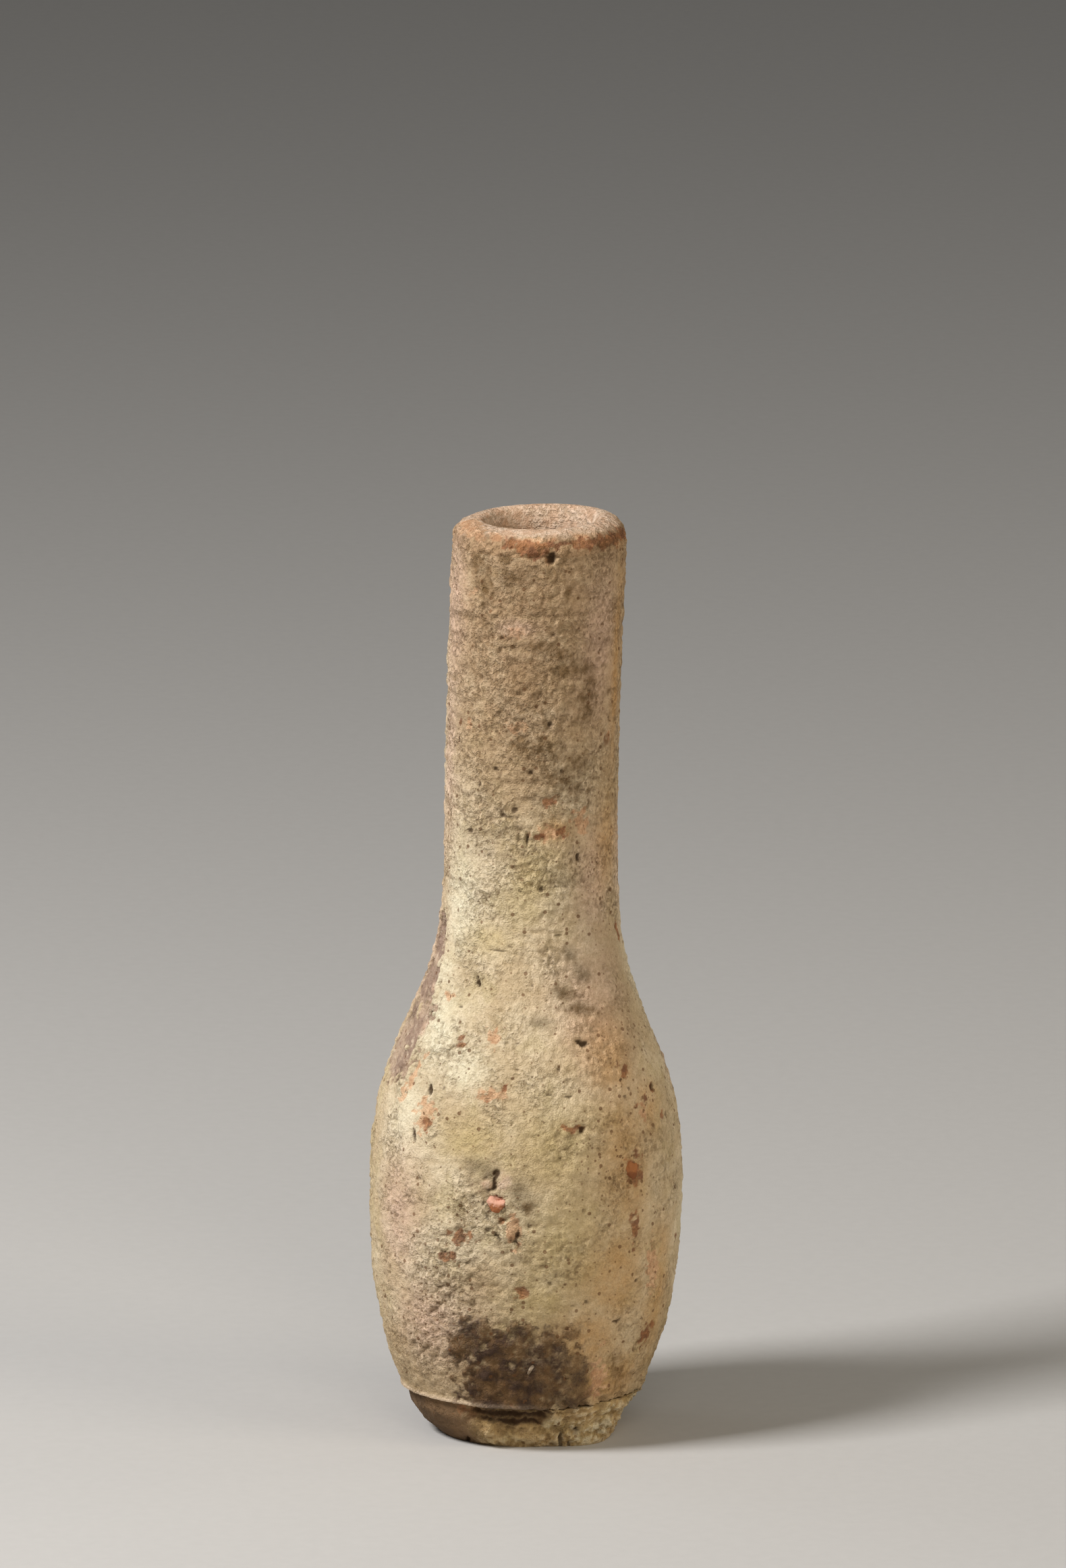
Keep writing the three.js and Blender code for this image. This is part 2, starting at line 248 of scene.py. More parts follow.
# Skins: grids of points with a relief and masks
class Skin:
    """Rows of points round the axis. Height runs on over the lip, so a mark has one place only."""

    def __init__(self, radius, z, lean_by, height, facing=1):
        """Radius has one column, or one for each point round the axis. Facing is -1 for a hollow."""
        self.angle = np.linspace(0, 2 * math.pi, COLUMNS, endpoint=False)[None, :]
        self.front = wrapped(self.angle)
        self.radius = np.broadcast_to(radius, (len(z), COLUMNS))
        self.height = np.broadcast_to(height[:, None], self.radius.shape)
        around = np.sin(self.angle), -np.cos(self.angle)
        column = np.ones((1, COLUMNS))
        self.points = np.stack(
            [self.radius * around[0] + lean_by[:, None], self.radius * around[1], z[:, None] * column], -1
        )
        dr, dz = np.gradient(radius, axis=0), np.gradient(z)[:, None]
        length = facing * np.hypot(dr, dz)
        self.normals = np.stack([dz / length * around[0], dz / length * around[1], -dr / length * column], -1)
        self.relief = np.zeros(self.radius.shape)
        self.ragged = waves(self.points, 0.9, 1, octaves=2)
        self.masks = {}

    def mask(self, name, value):
        """Adds to a named mask, which keeps the larger value."""
        self.masks[name] = np.clip(np.maximum(self.masks.get(name, 0), value), 0, 1)

    def fade(self, name, share):
        """Takes a share off a named mask."""
        self.masks[name] = self.masks[name] * (1 - share)

    def offsets(self, angle, height, tilt=0):
        """Distances from a place in the surface, along and across a line tilted from level."""
        return tilted(self.radius * wrapped(self.angle - angle), self.height - height, tilt)

    def oval(self, along, up, wide, tall, ragged, soft):
        """1 inside an oval with a ragged edge, 0 outside, for distances from its middle."""
        away = np.hypot(2 * along / wide, 2 * up / tall) + ragged * self.ragged
        return 1 - smooth(1 - soft, 1 + soft, away)

    def spot(self, angle, height, wide, tall, tilt=0, ragged=0.3, soft=0.4):
        """An oval round a place in the surface."""
        return self.oval(*self.offsets(angle, height, tilt), wide, tall, ragged, soft)

    def drawn(self, x, y, wide, tall, tilt=0, ragged=0.3, soft=0.4, far=False):
        """An oval drawn on the photograph, which lies on the near side or on the mouth's far wall."""
        seen_x, seen_y = in_photo(self.points)
        along, up = tilted((seen_x - x) / PX_PER_MM, (y - seen_y) / PX_PER_MM, tilt)
        facing = self.normals[..., 2] * TILT_SIN - self.normals[..., 1] * TILT_COS
        near = np.cos(self.angle) > 0
        return self.oval(along, up, wide, tall, ragged, soft) * smooth(0, 0.1, facing) * (near != far)

    def zone(self, angle, height, wide, tall, tilt=0):
        """A soft hump, 1 in its middle."""
        along, up = self.offsets(angle, height, tilt)
        return np.exp(-1.6 * ((2 * along / wide) ** 2 + (2 * up / tall) ** 2))

    def rows(self, start=None, stop=None):
        """Points and masks of a stretch of rows, in metres."""
        points = self.points + self.relief[..., None] * self.normals
        part = slice(start, stop)
        masks = {name: np.broadcast_to(mask, self.radius.shape)[part] for name, mask in self.masks.items()}
        return points[part] * MM, masks


def outer_outline():
    """The outside, from the body's cut edge over the lip into the mouth: radius, z, height and seams."""
    lower = np.linspace(EDGE_Z, JOIN_Z, round((JOIN_Z - EDGE_Z) / OUTER_STEP) + 1)
    upper = np.linspace(JOIN_Z, LIP_Z, round((LIP_Z - JOIN_Z) / OUTER_STEP) + 1)
    wall_z = np.concatenate([lower, upper[1:]])
    wall_r = outer_radius(wall_z)
    side = np.linspace(0, 1, UNDER_ROWS + 1)[1:]
    turn = np.linspace(0, math.pi / 2, ROLL_ROWS + 1)[1:]
    out, up = RIDGE_RADIUS + (LIP_RADIUS - RIDGE_RADIUS) * np.cos(turn), np.sin(turn)
    back, down = RIDGE_RADIUS + (BORE_RADIUS - RIDGE_RADIUS) * np.sin(turn), np.cos(turn)
    lip_r = np.concatenate([wall_r[-1] + side * (LIP_RADIUS - wall_r[-1]), out, back])
    over_z = np.concatenate([CORNER_Z + (CREST_Z - CORNER_Z) * up, MOUTH_Z + (CREST_Z - MOUTH_Z) * down])
    lip_z = np.concatenate([LIP_Z + side * (CORNER_Z - LIP_Z), over_z])
    inside_z = np.linspace(MOUTH_Z, LIP_Z, MOUTH_ROWS + 1)[1:]
    radius = np.concatenate([wall_r, lip_r, np.full(len(inside_z), BORE_RADIUS)])
    z = np.concatenate([wall_z, lip_z, inside_z])
    steps = np.hypot(np.diff(radius), np.diff(z))
    run = LIP_Z + np.concatenate([[0], np.cumsum(steps[len(wall_z) - 1 :])])
    height = np.concatenate([wall_z[:-1], run])
    return radius, z, height, len(lower) - 1, len(wall_z) - 1


def outer_skin():
    """The outside of body, neck and lip, and the rows of its two seams."""
    radius, z, height, join_row, lip_row = outer_outline()
    skin = Skin(radius[:, None], z, lean(z), height)
    aside = skin.points[..., 0] - lean(z)[:, None]
    share = np.clip((skin.points[..., 2] - LIP_Z) / (CREST_Z - LIP_Z), 0, None)
    skin.points[..., 2] += LIP_SLOPE * aside * share
    skin.points[..., 0] += np.minimum(aside, 0) * np.interp(z, skin_z, skin_bulge)[:, None]
    skin.points[..., 2] -= hem_dip(skin)
    return skin, join_row, lip_row


def hem_dip(skin):
    """How far the slip's lower edge sags at the far left."""
    at_left = hump(skin.front, math.radians(-92), math.radians(24))
    return 0.4 * at_left * smooth(0, EDGE_Z, skin.height) * smooth(18, EDGE_Z, skin.height)


# Marks, read off the photograph: x and y in its pixels, then width, height and tilt of the mark
# in millimetres and degrees.
PITS = [
    (818, 826, 1.4, 1.8), (708, 1453, 0.9, 1.6, 25), (863, 1546, 2.0, 0.8, -15), (862, 1675, 1.1, 1.0),
    (735, 1739, 1.1, 1.2), (732, 1755, 0.7, 2.0, 5), (720, 1746, 1.0, 0.5, 25),
    (726, 1763, 1.5, 0.5, 20), (711, 1757, 1.0, 0.4, -50), (716, 1783, 1.2, 0.5, 65),
    (722, 1806, 0.5, 0.9, 20), (613, 1683, 0.7, 1.9, 15), (637, 1615, 0.8, 1.6, 30),
    (657, 1613, 0.6, 0.7), (789, 1595, 0.7, 0.6), (770, 1603, 0.7, 0.5), (767, 1586, 0.7, 0.4, 20),
    (768, 1546, 0.9, 0.6), (762, 1554, 0.6, 0.4, 30), (816, 1622, 1.3, 0.4), (843, 1626, 1.2, 0.4),
    (811, 1483, 0.5, 0.6), (789, 1461, 0.6, 0.5), (683, 1492, 1.0, 0.6), (669, 1460, 0.6, 0.4),
    (830, 1716, 0.8, 0.7), (927, 1625, 0.7, 0.6), (920, 1600, 0.6, 0.7), (989, 1650, 0.6, 1.5, -10),
    (967, 1610, 0.8, 1.0), (627, 1752, 0.5, 0.8), (669, 1764, 0.6, 0.5), (758, 1667, 0.6, 0.5),
    (783, 1817, 0.7, 0.6), (791, 1844, 0.7, 0.5), (770, 1850, 0.6, 0.4), (815, 1903, 0.7, 0.6),
    (914, 1958, 1.8, 0.6, 8), (944, 1897, 0.8, 0.7), (582, 1887, 0.6, 0.7), (722, 1823, 1.0, 0.8, 30),
    (737, 1832, 1.4, 0.5, -50), (766, 1833, 0.5, 1.9, -12), (762, 1842, 1.4, 0.4, -25),
    (748, 960, 0.9, 0.4, -4), (757, 962, 0.6, 0.4), (764, 961, 0.8, 0.4, 12), (783, 965, 0.9, 0.4, -6),
    (736, 1015, 0.8, 0.4, -10), (744, 1013, 0.6, 0.4), (735, 1141, 1.0, 0.7), (786, 1146, 0.8, 0.7),
    (833, 1143, 0.5, 0.8), (744, 1210, 1.2, 0.6, 8), (756, 1212, 0.9, 0.5, 8),
    (766, 1213, 0.8, 0.4, 20), (762, 1201, 0.9, 0.8), (696, 1230, 1.0, 0.7),
    (709, 1164, 0.6, 1.0, -20), (712, 1186, 0.5, 0.9, -20), (816, 1074, 0.9, 0.8),
    (680, 1095, 0.5, 1.3, 15), (904, 1064, 0.7, 0.9), (781, 1245, 0.4, 1.5), (857, 1270, 0.6, 1.3),
    (802, 1318, 0.8, 0.9, 20), (769, 1320, 1.0, 0.5), (680, 1292, 0.5, 1.0, -10),
    (829, 1386, 1.1, 0.4), (755, 1403, 0.9, 0.5), (914, 1380, 0.6, 2.8, 8),
]
# Small round pits: how wide they are, and where.
ROUND_PITS = {
    0.5: [
        (765, 1477), (872, 1702), (888, 1703), (633, 1736), (599, 1757), (758, 1715), (849, 1936),
    ],
    0.6: [
        (806, 1425), (827, 1742), (839, 1784), (866, 1795), (911, 1795), (930, 1703), (933, 1613),
        (840, 1864), (728, 932), (820, 942),
    ],
    0.7: [
        (828, 1585), (620, 1745), (870, 1930),
    ],
}
FLECKS = [
    (731, 1541, 1.3, 2.8, 25), (629, 1654, 2.6, 3.6, 8), (616, 1588, 1.0, 3.4, -14),
    (598, 1620, 1.4, 2.2), (732, 1625, 3.4, 1.7, 10), (665, 1475, 1.4, 0.8), (860, 1211, 2.1, 2.4),
    (767, 1079, 2.6, 1.5), (695, 1070, 1.2, 1.5), (758, 1824, 2.2, 3.4, 15), (765, 936, 3.4, 1.9),
    (818, 1236, 3.6, 2.0), (700, 880, 2.0, 1.4), (865, 1225, 2.0, 1.6), (952, 1650, 1.2, 2.4, 10),
    (885, 2045, 2.8, 5.5, 10), (968, 1880, 2.0, 5.0, 8),
]
RUSTS = [
    (685, 1545, 1.3, 1.6), (632, 1666, 1.3, 1.8, 10), (722, 1634, 0.7, 0.6), (746, 1614, 0.9, 0.5, 20),
    (680, 1834, 3.4, 1.7), (665, 1862, 2.0, 1.5, -30), (744, 1812, 1.0, 1.6, 15),
    (773, 1918, 1.6, 1.5), (941, 1735, 2.7, 3.5, 8), (941, 1820, 1.4, 4.2, 5), (800, 1241, 1.0, 1.2),
    (834, 1233, 1.4, 1.3), (815, 1187, 2.2, 1.1, 20), (681, 1069, 0.7, 0.9),
    (901, 1097, 1.2, 2.0, -10), (850, 1673, 2.4, 1.1, -10), (812, 830, 1.0, 1.3),
    (943, 1640, 0.9, 0.8), (958, 1628, 0.8, 1.0), (926, 1586, 1.6, 2.0), (966, 1612, 0.8, 1.2),
    (982, 1648, 0.8, 2.0, 10), (1001, 1838, 1.4, 1.2), (915, 1378, 0.8, 3.4, 8), (957, 1976, 2.4, 2.2),
]
STAINS = [
    (860, 1495, 4.0, 1.3, -12), (840, 1474, 3.0, 1.4, -30), (782, 1792, 1.6, 1.2, -35),
    (707, 836, 3.6, 3.0), (719, 862, 2.4, 3.6), (754, 857, 2.0, 1.8), (841, 877, 0.9, 1.4),
    (752, 828, 2.0, 1.0), (838, 992, 2.4, 1.5), (852, 986, 2.4, 1.5), (866, 991, 2.4, 1.8),
    (874, 1006, 1.8, 2.6), (874, 1024, 1.6, 2.4), (866, 1034, 1.4, 1.4), (871, 1052, 2.2, 2.6),
    (859, 1132, 3.0, 2.6), (833, 1158, 3.2, 2.0), (850, 1172, 2.8, 2.2), (872, 1183, 1.0, 2.4),
    (790, 1108, 5.0, 2.4, -10), (820, 968, 4.5, 1.8, -12), (915, 2034, 2.0, 5.6, 30),
    (957, 1976, 2.6, 2.2),
]

# Bare patches, paler and pinker than the slip.
PALE_PATCHES = [
    (748, 1752, 1.6, 2.2), (722, 1756, 1.6, 1.1, -15), (640, 1463, 0.9, 0.9), (634, 1483, 0.7, 0.8),
    (627, 1520, 0.9, 1.9, -15), (622, 1531, 1.2, 0.8),
]

# Broad tones of the slip: about how large they are where nothing is drawn, then those that are drawn.
ZONES = {
    "cream": (15, [
        (650, 1520, 9, 17, 15), (655, 1440, 8, 8), (690, 1585, 9, 7), (600, 1650, 9, 14),
        (680, 1330, 9, 22),
    ]),
    "straw": (16, [
        (700, 1690, 14, 8), (820, 1700, 16, 16), (840, 1850, 18, 22), (800, 1930, 12, 10),
        (790, 1300, 9, 12), (720, 1390, 10, 6),
    ]),
    "blush": (16, [
        (590, 1800, 11, 24), (640, 1960, 16, 16), (672, 900, 9, 30), (665, 1100, 7, 36),
        (890, 950, 8, 24), (762, 932, 6, 3), (880, 1500, 15, 22), (880, 1300, 9, 20),
    ]),
    "ochre": (12, [
        (930, 1720, 12, 34), (905, 1570, 12, 18), (915, 1890, 15, 22), (875, 1985, 14, 14),
        (920, 2040, 8, 10), (975, 1900, 9, 26), (890, 2050, 10, 8), (900, 1240, 8, 20),
        (912, 1000, 3, 34), (960, 1640, 9, 12), (825, 1230, 6, 4),
    ]),
    "sand": (16, [
        (935, 1560, 14, 22), (900, 1720, 16, 14), (690, 1800, 14, 12), (640, 1950, 14, 18),
        (880, 1290, 6, 14),
    ]),
    "umber": (12, [
        (780, 880, 12, 16), (780, 1000, 9, 26), (795, 1120, 9, 14), (780, 1935, 16, 7),
        (778, 1885, 9, 14), (905, 1425, 12, 24), (705, 1905, 10, 7), (815, 1960, 11, 9),
    ]),
    "smudge": (7, [
        (768, 1766, 4, 5), (782, 1786, 4, 4), (722, 1738, 4, 3), (706, 1729, 5, 3), (772, 1774, 4, 4),
        (846, 1416, 2.2, 3.4, 30), (857, 1436, 2.2, 3.4, 30), (866, 1444, 3.6, 3),
        (832, 1470, 3.4, 2.4, -20), (862, 1494, 6, 2.4, -12), (800, 1515, 4, 2),
    ]),
}
# Where the slip is crumbly.
CRUMBS = [
    (655, 1900, 18, 24), (720, 1190, 12, 12), (730, 960, 12, 20), (700, 1800, 12, 12),
    (735, 1810, 8, 8), (640, 2000, 16, 14), (760, 1050, 14, 14),
]


def at(x, y, wide, tall, tilt=0):
    """A mark's place on the surface, then its size and tilt."""
    return *seen_at(x, y), wide, tall, tilt


def unseen(rng, count, low, high):
    """Random places round the side that the photograph doesn't show."""
    for _ in range(count):
        yield math.radians(rng.uniform(96, 264)), rng.uniform(low, high)


# The scar where the slip flaked off the left shoulder: a run of ovals from the join down to the belly.
SCAR = [
    (-78, 70.0, 5.0, 9.0), (-77, 64.5, 7.4, 8.0), (-74, 59.5, 9.4, 8.5), (-76, 54.8, 10.4, 7.4),
]
# What is left of the slip inside the scar.
SCAR_ISLANDS = [
    (-63, 66.5, 0.7, 8.0, -4), (-60, 57.0, 0.8, 5.0, -14), (-70, 56.0, 1.4, 0.8),
    (-74, 61.0, 0.8, 1.6, 20),
]
# The crust's lobes, drawn on the photograph, then how dark each is.
CRUST_LOBES = [
    (692, 1990, 5.2, 6.6, 0, 0.85), (712, 1970, 3.2, 2.8, -20, 0.75), (738, 2002, 5.8, 5.0, 0, 1.0),
    (774, 2008, 5.0, 5.4, 0, 0.7), (772, 1976, 3.0, 3.2, 0, 0.85), (790, 2000, 4.0, 3.0, 0, 0.75),
    (812, 1998, 4.6, 5.0, 0, 0.8), (844, 1976, 2.0, 1.6, 0, 0.65), (836, 2018, 4.4, 3.6, -20, 0.7),
    (856, 2040, 3.4, 7.4, 8, 0.7), (727, 2052, 8.2, 8.6, 0, 1.0), (764, 2058, 6.6, 7.0, 0, 0.95),
    (796, 2044, 8.4, 8.0, 0, 0.85), (830, 2062, 7.0, 5.0, 0, 0.6), (850, 2076, 4.4, 2.6, 10, 0.75),
    (770, 2082, 12.0, 2.6, 0, 0.9),
]


def crust_cover(skin, grow=0):
    """How far inside the crust a point lies, above 0.5 is covered, and how dark it is."""
    cover = np.zeros(skin.relief.shape)
    dark = np.zeros(skin.relief.shape)
    for x, y, wide, tall, tilt, shade in CRUST_LOBES:
        lobe = skin.drawn(x, y, wide + grow, tall + grow, tilt, ragged=0.5, soft=0.35)
        cover = np.maximum(cover, lobe)
        dark = np.maximum(dark, shade * lobe)
    return cover, dark


def weather(skin):
    """Relief and masks that every outer skin has, whatever its form. Returns its coarse lumps."""
    p = skin.points
    neck = smooth(JOIN_Z - 6, JOIN_Z + 16, skin.height)
    fine = waves(p, 0.8, 3)
    coarse = waves(p, 2.4, 4, octaves=2)
    clods = np.abs(waves(p, 1.9, 11, octaves=2, fade=0.6))
    throwing = waves(p * (0.2, 0.2, 1), 1.8, 5, octaves=2, fade=0.6)
    patchy = waves(p, 7, 6, octaves=2)
    crumb = np.clip(0.34 + 0.3 * patchy + 0.26 * neck, 0, 1)
    dragged = np.zeros(skin.relief.shape)
    for mark in CRUMBS:
        zone = skin.zone(*at(*mark))
        crumb = np.maximum(crumb, zone)
        dragged = np.maximum(dragged, zone)
    # Strokes where the wet slip was dragged, which rise to the right.
    along, up = skin.offsets(0, 0, tilt=38)
    strokes = waves(np.stack([along / 3.2, up, np.zeros(up.shape)], -1), 0.85, 12, octaves=2)
    skin.relief += (0.16 - 0.08 * neck) * waves(p, 17, 7) + (0.1 - 0.04 * neck) * waves(p, 6, 8)
    skin.relief += (0.04 + 0.03 * neck) * throwing * np.clip(0.9 + patchy, 0.2, 1.6)
    skin.relief += (0.11 + 0.06 * crumb - 0.05 * neck) * coarse + (0.16 + 0.1 * crumb - 0.06 * neck) * fine
    skin.relief += (0.6 - 0.2 * neck) * crumb * (np.minimum(clods, 0.5) - 0.3) + 0.22 * dragged * strokes
    open_pores = pores(p, 1.1, 9, 0.4, 0.8) * smooth(0.3, 0.8, crumb + 0.2 * coarse)
    few_pores = pores(p, 1.7, 10, 0.3, 0.6)
    skin.relief -= 0.16 * open_pores + 0.14 * few_pores
    # Pores are painted dark: painted shade in them.
    skin.mask("pit_shade", 0.4 * smooth(0.3, 0.9, open_pores) + 0.45 * smooth(0.4, 0.9, few_pores))
    # Creases and hollows of the relief are painted darker: grime and painted shade.
    creases = smooth(0.11, 0.0, clods) * smooth(0.15, 0.6, crumb)
    creases += 0.6 * dragged * smooth(-0.2, -0.7, strokes)
    hollows = crumb * smooth(-0.2, -0.8, fine) + neck * smooth(-0.2, -0.8, throwing)
    skin.mask("dirt_and_shade", creases + 0.5 * hollows)
    skin.mask("crumb", crumb)
    skin.mask("neck", smooth(JOIN_Z + 6, JOIN_Z + 40, skin.height))
    # Darker and browner towards the bottom: painted shade where the surface turns down.
    skin.mask("low", smooth(24, 9, skin.height))
    return coarse


def tones(skin):
    """Broad tones of the slip, in zones drawn on the front and random ones behind."""
    rng = np.random.default_rng(SEED)
    for name, (size, places) in ZONES.items():
        for mark in places:
            skin.mask(name, skin.zone(*at(*mark)))
        for angle, height in unseen(rng, 12, 10, 125):
            wide, tall = rng.uniform(0.5, 1.2) * size, rng.uniform(0.6, 2) * size
            skin.mask(name, skin.zone(angle, height, wide, tall))


def marks(skin):
    """Named pits, flecks and stains on the front, and others like them behind."""
    rng = np.random.default_rng(SEED + 1)
    pits, flecks, rusts, stains = ([at(*mark) for mark in places] for places in (PITS, FLECKS, RUSTS, STAINS))
    pits += [at(*place, wide, wide) for wide, places in ROUND_PITS.items() for place in places]
    behind = (
        (pits, 90, (0.4, 1.3), (0.4, 0.9), 40),
        (flecks, 20, (0.8, 2.2), (0.9, 3.4), 30),
        (rusts, 24, (0.8, 2.2), (0.9, 3.4), 30),
        (stains, 30, (1.6, 5), (1.4, 4.5), 40),
    )
    for places, count, widths, heights, tilt in behind:
        for angle, height in unseen(rng, count, 9, 125):
            form = rng.uniform(*widths), rng.uniform(*heights), rng.uniform(-tilt, tilt)
            places.append((angle, height, *form))
    for angle, height, wide, tall, tilt in pits:
        hole = skin.spot(angle, height, wide, tall, tilt, ragged=0.9 if wide > 3 * tall else 0.6, soft=0.5)
        across = math.sqrt(wide * tall)
        skin.relief -= (0.06 + 0.3 * across) * hole
        # Larger pits are painted darker: painted shade in the holes.
        skin.mask("pit_shade", min(1, 0.3 + 0.6 * across) * hole)
    for name, places, depth in (("worn", flecks, 0.1), ("rust", rusts, 0.12)):
        for angle, height, wide, tall, tilt in places:
            fleck = skin.spot(angle, height, 1.1 * wide, 1.1 * tall, tilt, ragged=1.1, soft=0.55)
            skin.relief -= depth * fleck
            skin.mask(name, fleck * (1 - 0.45 * skin.masks["neck"]))
    for angle, height, wide, tall, tilt in stains:
        skin.mask("stain", skin.spot(angle, height, 1.15 * wide, 1.15 * tall, tilt, ragged=0.9, soft=0.7))
    for mark in PALE_PATCHES:
        skin.mask("cleaned", skin.drawn(*mark, ragged=0.6, soft=0.6))


def scar(skin):
    """The flaked window on the left shoulder."""
    window = np.zeros(skin.relief.shape)
    for degrees, *form in SCAR:
        window = np.maximum(window, skin.spot(math.radians(degrees), *form, ragged=0.45, soft=0.16))
    for degrees, *form in SCAR_ISLANDS:
        window = np.minimum(window, 1 - skin.spot(math.radians(degrees), *form, ragged=0.6, soft=0.2))
    skin.relief -= 0.38 * window
    skin.mask("scar", window)
    # The scar's sunken edge is painted darker as painted shade.
    skin.mask("dirt_and_shade", 0.7 * smooth(0.15, 0.5, window) * smooth(0.98, 0.7, window))


def luting_line(skin):
    """The groove where the neck was luted on, smeared over except at the front left."""
    along, up = skin.offsets(math.radians(-20), JOIN_Z)
    drift = 0.2 * np.sin(along / 2.2)
    open_share = smooth(6.2, 4.4, np.abs(along))
    groove = hump(up + drift, 0, 0.16) * open_share
    step = smooth(-1.2, 0, up + drift) * smooth(1.6, 0, up + drift) * open_share
    skin.relief += 0.1 * step - 0.24 * groove
    # The groove is painted dark as painted shade.
    skin.mask("pit_shade", 0.75 * groove)


# Wear on the lip and marks in its mouth, drawn on the photograph.
RIM_ORANGE = [
    (700, 784, 3.8, 2.8, -10), (690, 778, 2.0, 2.4), (712, 798, 2.4, 1.6, -20),
    (735, 795, 3.0, 1.0, -8), (790, 801, 6.0, 0.8), (862, 796, 2.4, 0.8),
]
RIM_BROWN = [
    (753, 805, 1.8, 1.8), (776, 808, 3.2, 1.8, -6), (792, 814, 5.4, 2.0, -4), (795, 822, 2.4, 1.4),
    (812, 808, 3.0, 1.1), (840, 805, 3.0, 0.5), (868, 806, 3.8, 1.8, 5), (893, 801, 3.4, 1.7, 8),
    (911, 797, 2.6, 2.2, 20), (926, 790, 1.6, 2.4, 30), (896, 809, 1.2, 1.5, -30),
]
# Dark marks on the mouth's far wall, put in the stain mask: stains, and the lip's shadow painted on the wall.
MOUTH_DARK = [
    (728, 772, 3.0, 1.3, -14), (745, 776, 5.0, 1.8, -10), (765, 780, 6.5, 1.8, -5),
    (790, 777, 4.6, 2.2), (834, 779, 1.1, 1.6), (812, 783, 1.0, 0.8), (847, 778, 0.8, 1.4),
]
# Wear behind: degrees round the lip, then height above its corner, width and height.
RIM_BEHIND = [
    (95, 0.3, 6, 1.6), (120, 0.3, 6, 1.6), (150, 0.2, 7, 1.8), (185, 0.3, 8, 1.8), (215, 0.1, 7, 1.6),
    (240, 0.3, 8, 2.4),
]


def rim_wear(skin):
    """Slip worn off the lip's corner: orange clay on the left, and a brown band at the front and right."""
    for name, places, hidden in (("worn", RIM_ORANGE, RIM_BEHIND), ("rust", RIM_BROWN, RIM_BEHIND[::2])):
        wear = [skin.drawn(*place, ragged=0.6, soft=0.45) for place in places]
        for degrees, above, wide, tall in hidden:
            wear.append(skin.spot(math.radians(degrees), CORNER_Z + above, wide, tall, ragged=0.7, soft=0.5))
        for place in wear:
            skin.mask(name, place)
            skin.relief -= 0.14 * place
    # Stains and painted shadow on the mouth's far wall.
    for place in MOUTH_DARK:
        skin.mask("stain", skin.drawn(*place, ragged=0.6, soft=0.6, far=True))
    top = smooth(CORNER_Z + 1.2, CORNER_Z + 3.4, skin.height)
    skin.mask("cleaned", top * (1 - np.maximum(skin.masks["worn"], skin.masks["rust"])))
    skin.fade("dirt_and_shade", 0.7 * top)
    skin.relief *= 1 - 0.75 * top
    # The corner is rubbed down at the right.
    skin.relief -= 0.4 * skin.spot(math.radians(84), CORNER_Z + 2.2, 9, 4, ragged=0.2, soft=0.6)


# Each grain's two tones and slot, its tilt from upright, how much wider, deeper and taller it looks than its
# solid, and how deep the dent in its upper half is, as a share of its size.
# The pale tone is painted more towards each grain's top and the dark one towards its bottom: painted light
# and shade.
GRITS = {
    "red_grit": ("a5663f", "dba58c", "red_mineral", -8, (1.15, 1.0, 1.3), 0.3),
    "brown_grit": ("84502f", "a86c40", "brown_mineral", 8, (1.1, 0.75, 1.2), 0.15),
    "pale_grit": ("8f7c66", "b8a58e", "pale_mineral", -30, (0.8, 1.0, 1.15), 0.0),
}


def grit_places():
    """Each grit's name, centre and angle, its directions aside and out, and its width, depth and height."""
    for name in GRITS:
        low, high = (np.array(corner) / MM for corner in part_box(name))
        centre = (low + high) / 2
        angle = math.atan2(centre[0] - float(lean(centre[2])), -centre[1])
        side = np.array([math.cos(angle), math.sin(angle), 0])
        out = np.array([math.sin(angle), -math.cos(angle), 0])
        size = np.array([np.ptp(corners_of(name) @ axis) for axis in (side, out, UPWARD)])
        yield name, centre, angle, side, out, size


def sockets(skin):
    """Bowls in the surface that the grits sit in, narrower than they are."""
    share = 0.6
    for name, centre, angle, _, _, size in grit_places():
        _, _, _, tilt, stretch, _ = GRITS[name]
        wide, deep, tall = size * stretch
        along, up = skin.offsets(angle, centre[2], tilt)
        away = np.hypot(along, up * wide / tall) / (share * wide / 2)
        bowl = deep / 4 + deep / 2 * np.sqrt(np.clip(1 - away**2, 0, 1))
        skin.relief -= np.where(away < 1, bowl, 0)
        # Painted shadow round one side of each socket, where the grit meets the clay.
        shaded = smooth(2.1, 1.3, away + 0.8 * skin.ragged) * smooth(0.2, -0.8, (along + up) / wide)
        skin.mask("dirt_and_shade", 0.8 * shaded)


